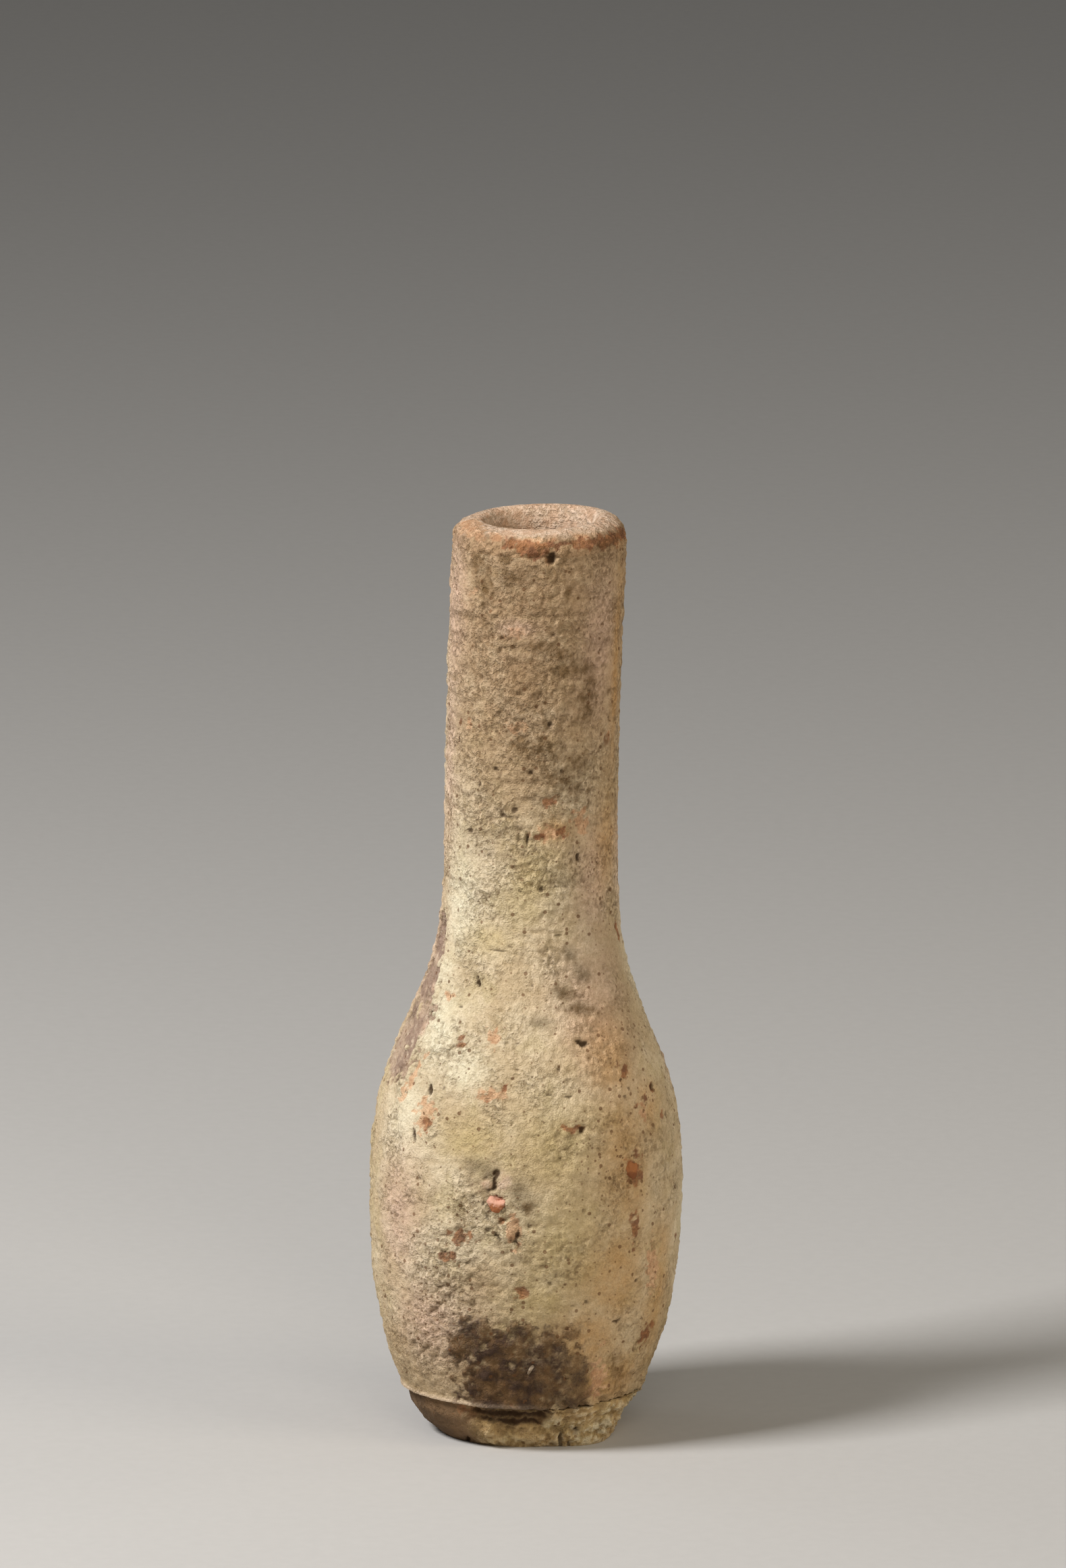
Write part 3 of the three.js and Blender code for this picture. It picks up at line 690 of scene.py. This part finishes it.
def hem(skin):
    """The crisp lower edge of the slip, with a painted highlight where it overhangs, strongest on the left
    and front.
    """
    side = np.abs(wrapped(skin.angle - math.radians(-60)))
    crisp = sector(80, 52, side) + 0.5 * sector(150, 170, side)
    above = skin.height - EDGE_Z
    lip = hump(above, 0.35, 0.38)
    skin.relief = skin.relief * (1 - crisp * smooth(1.2, -0.3, above)) + 0.34 * lip * crisp
    skin.relief -= 0.2 * smooth(0.25, 0, above) * crisp
    # The painted highlight is strongest on the left, where the light falls.
    bright = 0.3 + 0.7 * sector(-12, -30, skin.front)
    skin.mask("hem", lip * crisp * bright * (0.6 + 0.4 * smooth(-0.4, 0.4, skin.ragged)))
    # Right of the middle the slip is lumpy where it runs on over the foot.
    lumpy = smooth(5, 1, above) * (1 - crisp)
    lumps = clods_of(skin)
    skin.relief += 0.35 * lumpy * lumps
    # Painted shade between the lumps.
    skin.mask("dirt_and_shade", 0.7 * lumpy * smooth(-0.1, -0.6, lumps))
    skin.fade("dirt_and_shade", 0.8 * lip * crisp)
    # At the right the body draws in a little more above the foot.
    skin.relief -= 0.4 * hump(skin.angle, math.radians(88), math.radians(30)) * smooth(10, 2, above)


def clods_of(skin):
    """The lumps of slip round the foot, which run on over the hem."""
    return waves(skin.points, 2.2, 51, octaves=3, fade=0.75)


# Meshes
def add_masks(mesh, masks):
    """Masks as values of a mesh's points."""
    for name, values in masks.items():
        attribute = mesh.attributes.new(name, "FLOAT", "POINT")
        attribute.data.foreach_set("value", values.astype(np.float32).ravel())


def add_object(name, data):
    made = bpy.data.objects.new(name, data)
    bpy.context.scene.collection.objects.link(made)
    return made


def grid_mesh(name, rows, masks, closed, sharp_rows):
    """A mesh from rows of points round the axis. Closed joins the last to the first, else they are poles."""
    count, columns = rows.shape[:2]
    first = np.arange(count)[:, None] * columns
    here = first + np.arange(columns)
    right = first + (np.arange(columns) + 1) % columns
    last = count if closed else count - 1
    up = np.roll(here, -1, axis=0), np.roll(right, -1, axis=0)
    quads = np.stack([here, right, up[1], up[0]], -1)[:last].reshape(-1, 4)
    mesh = bpy.data.meshes.new(name)
    mesh.vertices.add(count * columns)
    mesh.vertices.foreach_set("co", rows.astype(np.float32).ravel())
    mesh.loops.add(quads.size)
    mesh.loops.foreach_set("vertex_index", quads.astype(np.int32).ravel())
    mesh.polygons.add(len(quads))
    mesh.polygons.foreach_set("loop_start", np.arange(0, quads.size, 4, dtype=np.int32))
    mesh.polygons.foreach_set("use_smooth", np.ones(len(quads), bool))
    mesh.update(calc_edges=True)
    add_masks(mesh, masks)
    ends = np.zeros(2 * len(mesh.edges), np.int32)
    mesh.edges.foreach_get("vertices", ends)
    row_of = ends.reshape(-1, 2) // columns
    sharp = (row_of[:, 0] == row_of[:, 1]) & np.isin(row_of[:, 0], sharp_rows)
    mesh.attributes.new("sharp_edge", "BOOLEAN", "EDGE").data.foreach_set("value", sharp)
    return mesh


def joined(*parts):
    """Rows and masks of skins put end to end, with a mask of 0 where a skin lacks it."""
    names = dict.fromkeys(name for _, masks in parts for name in masks)
    rows = np.concatenate([rows for rows, _ in parts])
    masks = {
        name: np.concatenate([masks.get(name, np.zeros(rows.shape[:2])) for rows, masks in parts])
        for name in names
    }
    return rows, masks


def last_first(rows, masks):
    """The same rows and masks in the other order."""
    return rows[::-1], {name: mask[::-1] for name, mask in masks.items()}


def flat_rows(z, radii):
    """Level rings at one height, for faces that rest on a neighbour."""
    angle = np.linspace(0, 2 * math.pi, COLUMNS, endpoint=False)
    rows = [np.stack([r * np.sin(angle), -r * np.cos(angle), np.full(COLUMNS, z)], -1) for r in radii]
    return np.array(rows) * MM, {}


def piece(mesh, material, slot, *nodes):
    """A finished piece that rides on the bottle and stands for CAD nodes."""
    shape = add_object(mesh.name, mesh)
    mesh.materials.append(material)
    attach(shape, "root")
    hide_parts(*nodes)


def inner_skin():
    """The hollow's wall, from its floor on the axis to the lip."""
    r = np.concatenate([[0], hollow[2]])
    z = np.concatenate([[hollow[0][0] - FLOOR_SAG], hollow[0]])
    run = np.concatenate([[0], np.cumsum(np.hypot(np.diff(r), np.diff(z)))])
    join_run = np.interp(JOIN_Z, z, run)
    lower = np.linspace(0, join_run, round(join_run / INNER_STEP) + 1)
    upper = np.linspace(join_run, run[-1], round((run[-1] - join_run) / INNER_STEP) + 1)
    fine = np.concatenate([lower, upper[1:]])
    radius, height = curve_through(run, r, fine), curve_through(run, z, fine)
    radius[0], height[len(lower) - 1], height[-1] = 0, JOIN_Z, LIP_Z
    skin = Skin(radius[:, None], height, lean(height), height, facing=-1)
    skin.relief = 0.1 * waves(skin.points * (0.2, 0.2, 1), 2.4, 21, octaves=2)
    skin.relief += 0.08 * waves(skin.points, 2, 22)
    skin.relief[0] = skin.relief[len(lower) - 1] = skin.relief[-1] = 0
    skin.mask("inside", np.ones(skin.relief.shape))
    return skin, len(lower) - 1


# Marks on the foot: its brightest slip, where the potter's finger swirled under the ridge, rust, and notches
# in the edge that it stands on.
FOOT_BRIGHT = (885, 2122, 6.0, 3.6, 15)
FOOT_SWIRL = [(722, 2095, 5.4, 2.8, -8), (757, 2099, 7.0, 3.4, -2), (788, 2097, 5.4, 3.2, 12)]
FOOT_RUSTS = [(700, 2092, 4.0, 2.4, -18), (880, 2068, 3.0, 1.0, 15), (797, 2108, 2.4, 1.2, 25)]
FOOT_NOTCHES = [(831, 2135, 0.7, 2.4), (843, 2142, 0.6, 1.4), (693, 2136, 0.6, 1.0), (856, 2120, 0.8, 0.6)]


def foot_skin():
    """The foot's side: the solid's rings, with the ridge's undercut, wear and notches."""
    rings = []
    corners = corners_of("foot_disc")
    heights, counts = np.unique(corners[:, 2], return_counts=True)
    ring_z = heights[counts >= WHOLE_RING]
    angle = np.linspace(0, 2 * math.pi, COLUMNS, endpoint=False)
    for z in ring_z:
        ring = corners[(corners[:, 2] == z) & (np.hypot(corners[:, 0], corners[:, 1]) > 1)]
        turn = np.arctan2(ring[:, 0], -ring[:, 1])
        order = np.argsort(turn)
        radii = np.hypot(ring[:, 0], ring[:, 1])
        rings.append(np.interp(angle, turn[order], radii[order], period=2 * math.pi))
    z = np.concatenate([[0, 0.08, 0.25], np.linspace(0.5, ring_z[-1], 24)])
    radius = np.array([[np.interp(h, ring_z, column) for column in np.array(rings).T] for h in z])
    skin = Skin(radius, z, np.zeros(len(z)), z)
    coarse = weather(skin)
    skin.points[..., 2] -= hem_dip(skin)
    front = skin.front
    # The bevel on the left is smooth brown clay, darkened as painted shade, the rest is lumpy yellow slip.
    left = sector(-18, -38, front)
    lumpy = 1 - left
    clods = clods_of(skin)
    crumbs = waves(skin.points, 0.9, 53, octaves=2, fade=0.7)
    skin.relief = skin.relief * (0.3 + 0.6 * lumpy) + lumpy * (0.4 * np.maximum(clods, -0.7) + 0.2 * crumbs)
    # Painted shade between the clods and crumbs.
    skin.mask("dirt_and_shade", 0.7 * smooth(-0.1, -0.6, np.minimum(clods, crumbs)) * lumpy)
    skin.mask("pit_shade", 0.3 * smooth(-0.45, -0.85, np.minimum(clods, crumbs)) * lumpy)
    bright = np.maximum(skin.drawn(*FOOT_BRIGHT, ragged=0.6, soft=0.6), smooth(2.6, 1.0, skin.height))
    bright = np.maximum(bright, smooth(0.0, 0.5, clods))
    skin.mask("cream", 0.85 * bright * smooth(-0.3, 0.2, crumbs) * lumpy)
    # The hollow under the ridge, and the swirl of the potter's finger in it, painted dark in the soot tone
    # and with painted shade.
    under = np.zeros(skin.relief.shape)
    for mark in FOOT_SWIRL:
        under = np.maximum(under, skin.drawn(*mark, ragged=0.25, soft=0.5))
    swirl = np.sin(skin.height * 5.2 + 6 * front)
    skin.relief -= 0.7 * under + 0.1 * under * swirl
    skin.mask("burnt", under * (0.8 + 0.2 * swirl))
    skin.mask("pit_shade", under * (0.7 + 0.3 * swirl))
    skin.fade("cream", under)
    skin.fade("cream", 0.55 * sector(25, 0, front))
    # Towards the right the slip runs down over the foot and hides the hem.
    smeared = sector(0, 22, front) * sector(175, 130, front)
    skin.relief += 0.5 * smeared * smooth(2.6, 6.4, skin.height) * (1 - 0.6 * np.sin(np.abs(front)) ** 8)
    for mark in FOOT_RUSTS:
        skin.mask("rust", 0.6 * skin.drawn(*mark, ragged=0.8, soft=0.7))
    # Notches in the edge, painted dark as painted shade in them.
    for mark in FOOT_NOTCHES:
        notch = skin.drawn(*mark, ragged=0.3, soft=0.4)
        skin.relief -= 0.6 * notch
        skin.mask("pit_shade", 0.8 * notch)
    behind = sector(110, 150, np.abs(front))
    skin.mask("bare_and_shade", 0.8 * left + 0.5 * behind + 0.15 * coarse * lumpy)
    skin.mask("straw", lumpy)
    skin.mask("ochre", lumpy * (0.15 + 0.35 * smooth(0.2, 0.6, waves(skin.points, 5, 52) + 0.5)))
    base = smooth(0, 0.5, skin.height)
    held = np.clip(skin.relief, -0.6, 0.1)
    skin.relief = np.where(skin.height < 0.6, held, skin.relief) * (0.6 + 0.4 * base)
    skin.normals[..., 2] *= base
    skin.points[..., 2] = np.maximum(skin.points[..., 2], 0)
    return skin


# Materials
def paint(code):
    """A linear colour from its hexadecimal sRGB code."""
    shares = [int(code[i : i + 2], 16) / 255 for i in (0, 2, 4)]
    return (*(s / 12.92 if s <= 0.04045 else ((s + 0.055) / 1.055) ** 2.4 for s in shares), 1)


class Shader:
    """Builds a material's nodes. Each method adds nodes and returns an output socket."""

    def __init__(self, name):
        self.material = bpy.data.materials.new(name)
        self.material.use_nodes = True
        self.tree = self.material.node_tree
        self.tree.nodes.clear()
        self.place = self.node("ShaderNodeTexCoord").outputs["Object"]

    def node(self, kind, **settings):
        made = self.tree.nodes.new(kind)
        for key, value in settings.items():
            setattr(made, key, value)
        return made

    def feed(self, socket, value):
        if isinstance(value, bpy.types.NodeSocket):
            self.tree.links.new(value, socket)
        else:
            socket.default_value = value

    def mask(self, name):
        return self.node("ShaderNodeAttribute", attribute_name=name).outputs["Fac"]

    def noise(self, size, detail=2.0, rough=0.55, stretch=None):
        made = self.node("ShaderNodeTexNoise")
        made.inputs["Scale"].default_value = 1 / (size * MM)
        made.inputs["Detail"].default_value = detail
        made.inputs["Roughness"].default_value = rough
        place = self.place
        if stretch:
            scaled = self.node("ShaderNodeVectorMath", operation="MULTIPLY")
            self.feed(scaled.inputs[0], place)
            scaled.inputs[1].default_value = stretch
            place = scaled.outputs[0]
        self.feed(made.inputs["Vector"], place)
        return made.outputs["Fac"]

    def math(self, operation, a, b=0.0):
        made = self.node("ShaderNodeMath", operation=operation)
        self.feed(made.inputs[0], a)
        self.feed(made.inputs[1], b)
        return made.outputs[0]

    def times(self, a, b):
        return self.math("MULTIPLY", a, b)

    def frayed(self, value, noise, amount):
        """The value with noise added, which makes its edge ragged."""
        return self.math("ADD", value, self.times(self.math("SUBTRACT", noise, 0.5), amount))

    def ramp(self, value, low, high, to_low=0.0, to_high=1.0):
        """The value carried smoothly from low..high to to_low..to_high."""
        made = self.node("ShaderNodeMapRange", interpolation_type="SMOOTHSTEP")
        self.feed(made.inputs["Value"], value)
        limits = {"From Min": low, "From Max": high, "To Min": to_low, "To Max": to_high}
        for name, number in limits.items():
            made.inputs[name].default_value = number
        return made.outputs["Result"]

    def mix(self, share, a, b, blend="MIX"):
        made = self.node("ShaderNodeMix", data_type="RGBA", blend_type=blend)
        self.feed(made.inputs[0], share)
        self.feed(made.inputs[6], a)
        self.feed(made.inputs[7], b)
        return made.outputs[2]

    def two_tones(self, value, low, high, dark, light):
        """One tone where the value is low, another where it is high."""
        return self.mix(self.ramp(value, low, high), paint(dark), paint(light))

    def tinted(self, value):
        """Grey of a value, yellower where it is darker."""
        made = self.node("ShaderNodeCombineColor")
        for i, power in enumerate((0.9, 1.0, 1.25)):
            self.feed(made.inputs[i], self.math("POWER", value, power))
        return made.outputs[0]

    def specks(self, size, radius, rarity, most):
        """Round specks in a lattice: radius is a share of a cell, rarity the share of empty cells."""
        cells = self.node("ShaderNodeTexVoronoi")
        cells.inputs["Scale"].default_value = 1 / (size * MM)
        self.feed(cells.inputs["Vector"], self.place)
        split = self.node("ShaderNodeSeparateColor")
        self.feed(split.inputs[0], cells.outputs["Color"])
        chosen = self.ramp(split.outputs[0], rarity, rarity + 0.04)
        return self.times(self.ramp(cells.outputs["Distance"], 1.5 * radius, radius, 0.0, most), chosen)

    def finish(self, color, rough, height, bump, depth, specular=0.25):
        """The surface itself, with relief finer than the mesh holds."""
        bumps = self.node("ShaderNodeBump")
        bumps.inputs["Strength"].default_value = bump
        bumps.inputs["Distance"].default_value = depth * MM
        self.feed(bumps.inputs["Height"], height)
        surface = self.node("ShaderNodeBsdfPrincipled")
        self.feed(surface.inputs["Base Color"], color)
        self.feed(surface.inputs["Roughness"], rough)
        surface.inputs["Specular IOR Level"].default_value = specular
        self.feed(surface.inputs["Normal"], bumps.outputs["Normal"])
        out = self.node("ShaderNodeOutputMaterial")
        self.feed(out.inputs["Surface"], surface.outputs["BSDF"])
        return self.material


SLIP_TONES = ("c8b18d", "dcc9a8")
BISCUIT_TONES = ("bd9c76", "d0b08c")

# What each broad mask turns the clay towards, and how far at most.
BROAD_TONES = (
    ("neck", "ab8a67", 0.8),
    ("umber", "84684a", 0.42),
    # low: painted shade on the faces that turn down towards the foot.
    ("low", "997a4e", 0.6),
    ("straw", "c2ab76", 0.7),
    ("cream", "eadfc0", 0.9),
    ("blush", "dab8a0", 0.75),
    ("ochre", "c4965c", 0.7),
    ("smudge", "76664d", 0.74),
)


def clay(name, tones):
    """Fired clay under slip: broad tones first, then stains, wear and soot, then grain, grime and pits, with
    painted light and shade on the relief.
    """
    s = Shader(name)
    mottle = s.noise(1.7, 4, 0.65)
    grain = s.noise(0.62, 3, 0.65)
    dust = s.noise(0.24, 2, 0.6)
    uneven = s.ramp(mottle, 0.3, 0.6, 0.7, 1.0)
    color = s.two_tones(s.noise(8, 3), 0.35, 0.65, *tones)
    color = s.mix(s.ramp(s.noise(5, 2), 0.5, 0.7, 0.0, 0.45), color, paint("c4b184"))
    for mask, tone, most in BROAD_TONES:
        color = s.mix(s.times(s.times(s.mask(mask), uneven), most), color, paint(tone))
    streaks = s.noise(1.1, 3, 0.6, stretch=(0.12, 0.12, 1))
    color = s.mix(s.ramp(streaks, 0.5, 0.75, 0.0, 0.3), color, paint("a48a64"))
    # Brown clay of the foot, its tones darkened as painted shade.
    color = s.mix(s.mask("bare_and_shade"), color, s.two_tones(s.noise(4, 4), 0.4, 0.6, "463223", "654b33"))
    stain = s.times(s.mask("stain"), s.ramp(mottle, 0.3, 0.6, 0.3, 0.78))
    color = s.mix(stain, color, paint("6c512e"))
    for mask, dark, light, most in (("worn", "c0906a", "e2b890", 0.82), ("rust", "744730", "a8734c", 0.86)):
        ragged = s.frayed(s.mask(mask), grain, 1.1)
        share = s.times(s.ramp(ragged, 0.1, 0.9), s.ramp(s.mask(mask), 0.02, 0.6, 0.0, most))
        color = s.mix(share, color, s.two_tones(mottle, 0.38, 0.62, dark, light))
    flaked = s.two_tones(s.noise(3.2, 3), 0.42, 0.58, "967c6b", "b89e86")
    flaked = s.mix(s.ramp(s.noise(1.2, 3), 0.55, 0.7, 0.0, 0.6), flaked, paint("dcc6ac"))
    color = s.mix(s.ramp(s.mask("scar"), 0.1, 0.9, 0.0, 0.92), color, flaked)
    soot = s.two_tones(s.noise(2.6, 4), 0.38, 0.62, "473529", "705538")
    edge = s.frayed(s.mask("burnt"), grain, 0.9)
    color = s.mix(s.times(s.ramp(edge, 0.1, 0.95), s.ramp(s.mask("burnt"), 0.02, 0.25)), color, soot)
    sandy = s.times(s.mask("sand"), 0.8)
    sparse = s.math("MAXIMUM", s.specks(1.5, 0.15, 0.6, 0.75), s.specks(0.9, 0.14, 0.62, 0.6))
    specks = s.math("MAXIMUM", sparse, s.times(s.specks(0.8, 0.2, 0.42, 1.0), sandy))
    color = s.mix(specks, color, paint("6f4c2f"))
    rim = s.two_tones(mottle, 0.35, 0.65, "cda98c", "e6ccb2")
    color = s.mix(s.times(s.mask("cleaned"), 0.8), color, rim)
    # A painted highlight along the hem's edge.
    color = s.mix(s.times(s.mask("hem"), 0.9), color, paint("ecd2b4"))
    color = s.mix(s.mask("inside"), color, s.two_tones(mottle, 0.35, 0.65, "9b7c5f", "b79777"))
    # Grime and painted shade in creases and recesses.
    color = s.mix(s.times(s.mask("dirt_and_shade"), 0.65), color, paint("6b5338"))
    # Where the slip is crumbly, its grains stand out more. Low places in the grain and dust are painted
    # darker and raised ones lighter: painted shade and light that follow the bump.
    granular = s.ramp(s.frayed(s.mask("crumb"), s.noise(3.4, 3), 1.6), 0.15, 0.85, 0.3, 1.0)
    grains = s.math("POWER", s.ramp(grain, 0.33, 0.6, 0.72, 1.09), granular)
    shade = s.times(grains, s.ramp(dust, 0.3, 0.7, 0.88, 1.08))
    color = s.mix(1.0, color, s.tinted(shade), "MULTIPLY")
    # Pores, pits, grooves and notches painted nearly black: painted shade in the holes.
    color = s.mix(s.ramp(s.mask("pit_shade"), 0.2, 0.95, 0.0, 0.92), color, paint("3c2814"))
    raised = s.times(s.ramp(grain, 0.33, 0.62, 0.0, 0.55), granular)
    height = s.math("ADD", raised, s.times(dust, 0.35))
    rough = s.ramp(mottle, 0.3, 0.7, 0.86, 0.98)
    return s.finish(color, rough, height, bump=1.0, depth=0.42, specular=0.2)


def grit_material(name, deep, pale, middle, tall):
    """Mineral in two tones, paler towards its top and darker towards its bottom: painted light and shade."""
    s = Shader(name)
    veins = s.noise(0.9, 4, 0.7)
    split = s.node("ShaderNodeSeparateXYZ")
    s.feed(split.inputs[0], s.place)
    # Painted light and shade: paler towards the top, darker towards the bottom.
    upper = s.ramp(split.outputs[2], (middle - 0.3 * tall) * MM, (middle + 0.15 * tall) * MM, -0.2, 0.2)
    color = s.two_tones(s.math("ADD", veins, upper), 0.38, 0.6, deep, pale)
    return s.finish(color, s.ramp(veins, 0.3, 0.7, 0.75, 0.92), s.noise(0.3, 3), bump=0.9, depth=0.2)


# Pieces
def make_clay_pieces():
    slip = clay("pale_slip", SLIP_TONES)
    fired = clay("fired_clay", BISCUIT_TONES)
    skin, join_row, lip_row = outer_skin()
    for step in (weather, tones, marks, scar, luting_line, rim_wear, sockets, hem):
        step(skin)
    skin.mask("burnt", 0.85 * crust_cover(skin, 0.9)[1])
    inner, inner_join = inner_skin()

    under = flat_rows(EDGE_Z, SEAM_RINGS)
    wall = last_first(*inner.rows(stop=inner_join + 1))
    rows, masks = joined(under, skin.rows(stop=join_row + 1), wall)
    first = len(SEAM_RINGS)
    body = grid_mesh("body", rows, masks, False, (first, first + join_row, first + join_row + 1))
    piece(body, slip, "pale_slip", "body_wall", "body_coat")

    bore = last_first(*inner.rows(inner_join))
    rows, masks = joined(skin.rows(join_row, lip_row + 1), bore)
    last = lip_row - join_row
    neck = grid_mesh("neck", rows, masks, True, (0, last, last + 1, len(rows) - 1))
    piece(neck, slip, "pale_slip", "neck_tube", "neck_coat")

    skin.relief[-1] = 0
    rows, masks = skin.rows(lip_row)
    lip = grid_mesh("lip", rows, masks, True, (0, len(rows) - 1))
    piece(lip, fired, "fired_clay", "rim_lip")

    side = foot_skin()
    top = flat_rows(EDGE_Z, SEAM_RINGS[::-1])
    rows, masks = joined(flat_rows(0, BASE_RINGS), side.rows(), top)
    first = len(BASE_RINGS)
    foot = grid_mesh("foot", rows, masks, False, (first, first + len(side.height) - 1))
    piece(foot, fired, "fired_clay", "foot_disc")
    return skin


def make_crust(skin):
    """The crust: a thin closed shell over the slip, with the slip's masks, whose edge sinks into it."""
    cover, dark = crust_cover(skin)
    thick = 0.22 + 0.2 * waves(skin.points, 1.4, 31, octaves=3)
    lift = np.clip(thick, 0.05, 0.5) * smooth(0.35, 0.95, cover) - 0.16 * smooth(0.5, 0.2, cover)
    near = cover > 0.12
    turn = (np.arange(COLUMNS) + COLUMNS // 2) % COLUMNS
    rows = np.flatnonzero(near.any(1))
    columns = np.flatnonzero(near[:, turn].any(0))
    pick = np.ix_(np.arange(rows[0], rows[-1] + 1), turn[columns[0] : columns[-1] + 1])
    near, lift, normals = near[pick], lift[pick][..., None], skin.normals[pick]
    surface = skin.points[pick] + skin.relief[pick][..., None] * normals
    outer = surface + lift * normals
    inner = surface + (np.minimum(lift, 0.03) - 0.03) * normals
    whole = near[:-1, :-1] & near[1:, 1:] & near[:-1, 1:] & near[1:, :-1]
    index = np.arange(near.size).reshape(near.shape)
    quads = np.stack([index[:-1, :-1], index[:-1, 1:], index[1:, 1:], index[1:, :-1]], -1)[whole]
    edges = {tuple(edge) for i in range(4) for edge in quads[:, [i, (i + 1) % 4]].tolist()}
    rim = [(a, b) for a, b in edges if (b, a) not in edges]
    walls = [(b, a, a + near.size, b + near.size) for a, b in sorted(rim)]
    points = np.concatenate([outer.reshape(-1, 3), inner.reshape(-1, 3)]) * MM
    mesh = bpy.data.meshes.new("crust")
    mesh.from_pydata(points.tolist(), [], quads.tolist() + (quads[:, ::-1] + near.size).tolist() + walls)
    mesh.polygons.foreach_set("use_smooth", np.ones(len(mesh.polygons), bool))
    masks = {name: np.broadcast_to(mask, skin.relief.shape)[pick] for name, mask in skin.masks.items()}
    masks["burnt"] = np.maximum(masks["burnt"], dark[pick])
    add_masks(mesh, {name: np.tile(mask.ravel(), 2) for name, mask in masks.items()})
    drop_loose(mesh)
    piece(mesh, clay("burnt_crust", SLIP_TONES), "burnt_crust", "dark_crust")


def drop_loose(mesh):
    """Removes points that no face uses."""
    form = bmesh.new()
    form.from_mesh(mesh)
    bmesh.ops.delete(form, geom=[v for v in form.verts if not v.link_faces], context="VERTS")
    form.to_mesh(mesh)
    form.free()


def make_grits():
    """Worn, slightly angular grains where the CAD has them."""
    for name, centre, _, level, out, size in grit_places():
        deep_tone, pale_tone, slot, tilt, stretch, dent = GRITS[name]
        side, up = tilted(level, UPWARD, tilt)
        form = bmesh.new()
        bmesh.ops.create_icosphere(form, subdivisions=4, radius=0.5)
        unit = np.array([v.co for v in form.verts])
        # Flats where the grain broke, then a little wear.
        rng = np.random.default_rng(SEED + len(name))
        for flat in rng.normal(size=(9, 3)):
            flat /= np.linalg.norm(flat)
            beyond = np.maximum(unit @ flat - rng.uniform(0.36, 0.44), 0)
            unit -= beyond[:, None] * flat
        unit *= (1 + 0.1 * waves(unit, 0.3, 41, octaves=2))[:, None]
        middle = hump(unit[:, 0], 0.04, 0.17)
        unit[:, 1] -= dent * middle * hump(unit[:, 2], 0.24, 0.17) * smooth(-0.1, 0.2, unit[:, 1])
        unit[:, 2] -= 0.8 * dent * middle * smooth(0.05, 0.4, unit[:, 2])
        unit[:, 0] *= 1 - dent * smooth(0, -0.5, unit[:, 2])
        wide, deep, tall = size * stretch
        points = centre + unit[:, :1] * wide * side + unit[:, 1:2] * deep * out + unit[:, 2:] * tall * up
        for vertex, co in zip(form.verts, points * MM):
            vertex.co = co
        for face in form.faces:
            face.smooth = True
        mesh = bpy.data.meshes.new(name.replace("grit", "grain"))
        form.to_mesh(mesh)
        form.free()
        piece(mesh, grit_material(name, deep_tone, pale_tone, centre[2], size[2]), slot, name)


# Stage, camera and light
def make_stage():
    bpy.ops.mesh.primitive_plane_add(size=8)
    floor = bpy.context.object
    floor.name = "floor"
    s = Shader("pale_floor")
    color = s.mix(s.noise(2, 2), paint("bdbab5"), paint("c3c0bb"))
    floor.data.materials.append(s.finish(color, 0.85, s.noise(1.5, 2), bump=0.05, depth=0.1))


# The middle of the bottle, which the lamps face.
LIT_POINT = Vector((0, 0, 0.06))


def aim(thing, target):
    thing.rotation_euler = (Vector(target) - thing.location).to_track_quat("-Z", "Y").to_euler()


def make_camera():
    """The photograph's view."""
    data = bpy.data.cameras.new("camera")
    data.sensor_width = 36
    data.lens = data.sensor_width * CAMERA_DISTANCE * PX_PER_MM / PHOTO_HIGH
    camera = add_object("camera", data)
    target = Vector((VIEW_ASIDE, 0, VIEW_ABOVE)) * MM
    back = Vector((0, -TILT_COS, TILT_SIN))
    camera.location = target + back * CAMERA_DISTANCE * MM
    aim(camera, target)
    bpy.context.scene.camera = camera


def softbox(name, azimuth, elevation, distance, size, power, color):
    """A square lamp that faces the bottle. Azimuth 0 is at the front, positive towards +X."""
    data = bpy.data.lights.new(name, "AREA")
    data.size, data.energy, data.color = size, power, color
    lamp = add_object(name, data)
    a, e = math.radians(azimuth), math.radians(elevation)
    away = Vector((math.sin(a) * math.cos(e), -math.cos(a) * math.cos(e), math.sin(e)))
    lamp.location = LIT_POINT + distance * away
    aim(lamp, LIT_POINT)


def make_light():
    softbox("key", -62, 46, 0.8, 0.22, 7.4, (0.96, 0.96, 0.98))
    softbox("front_fill", 10, 35, 1.4, 0.6, 3.4, (1.0, 0.94, 0.84))
    softbox("right_fill", 60, 25, 1.2, 0.5, 3.8, (1.0, 0.91, 0.76))
    softbox("right_kick", 105, 20, 0.9, 0.3, 0.6, (1.0, 0.9, 0.76))
    softbox("left_kick", -122, 20, 0.9, 0.3, 0.5, (0.92, 0.96, 1.0))
    world = bpy.data.worlds.new("world")
    world.use_nodes = True
    background = world.node_tree.nodes["Background"]
    background.inputs[0].default_value = (0.5, 0.505, 0.51, 1)
    background.inputs[1].default_value = 0.2
    bpy.context.scene.world = world
    bpy.context.scene.view_settings.view_transform = "Standard"


outside = make_clay_pieces()
make_crust(outside)
make_grits()
make_stage()
make_camera()
make_light()
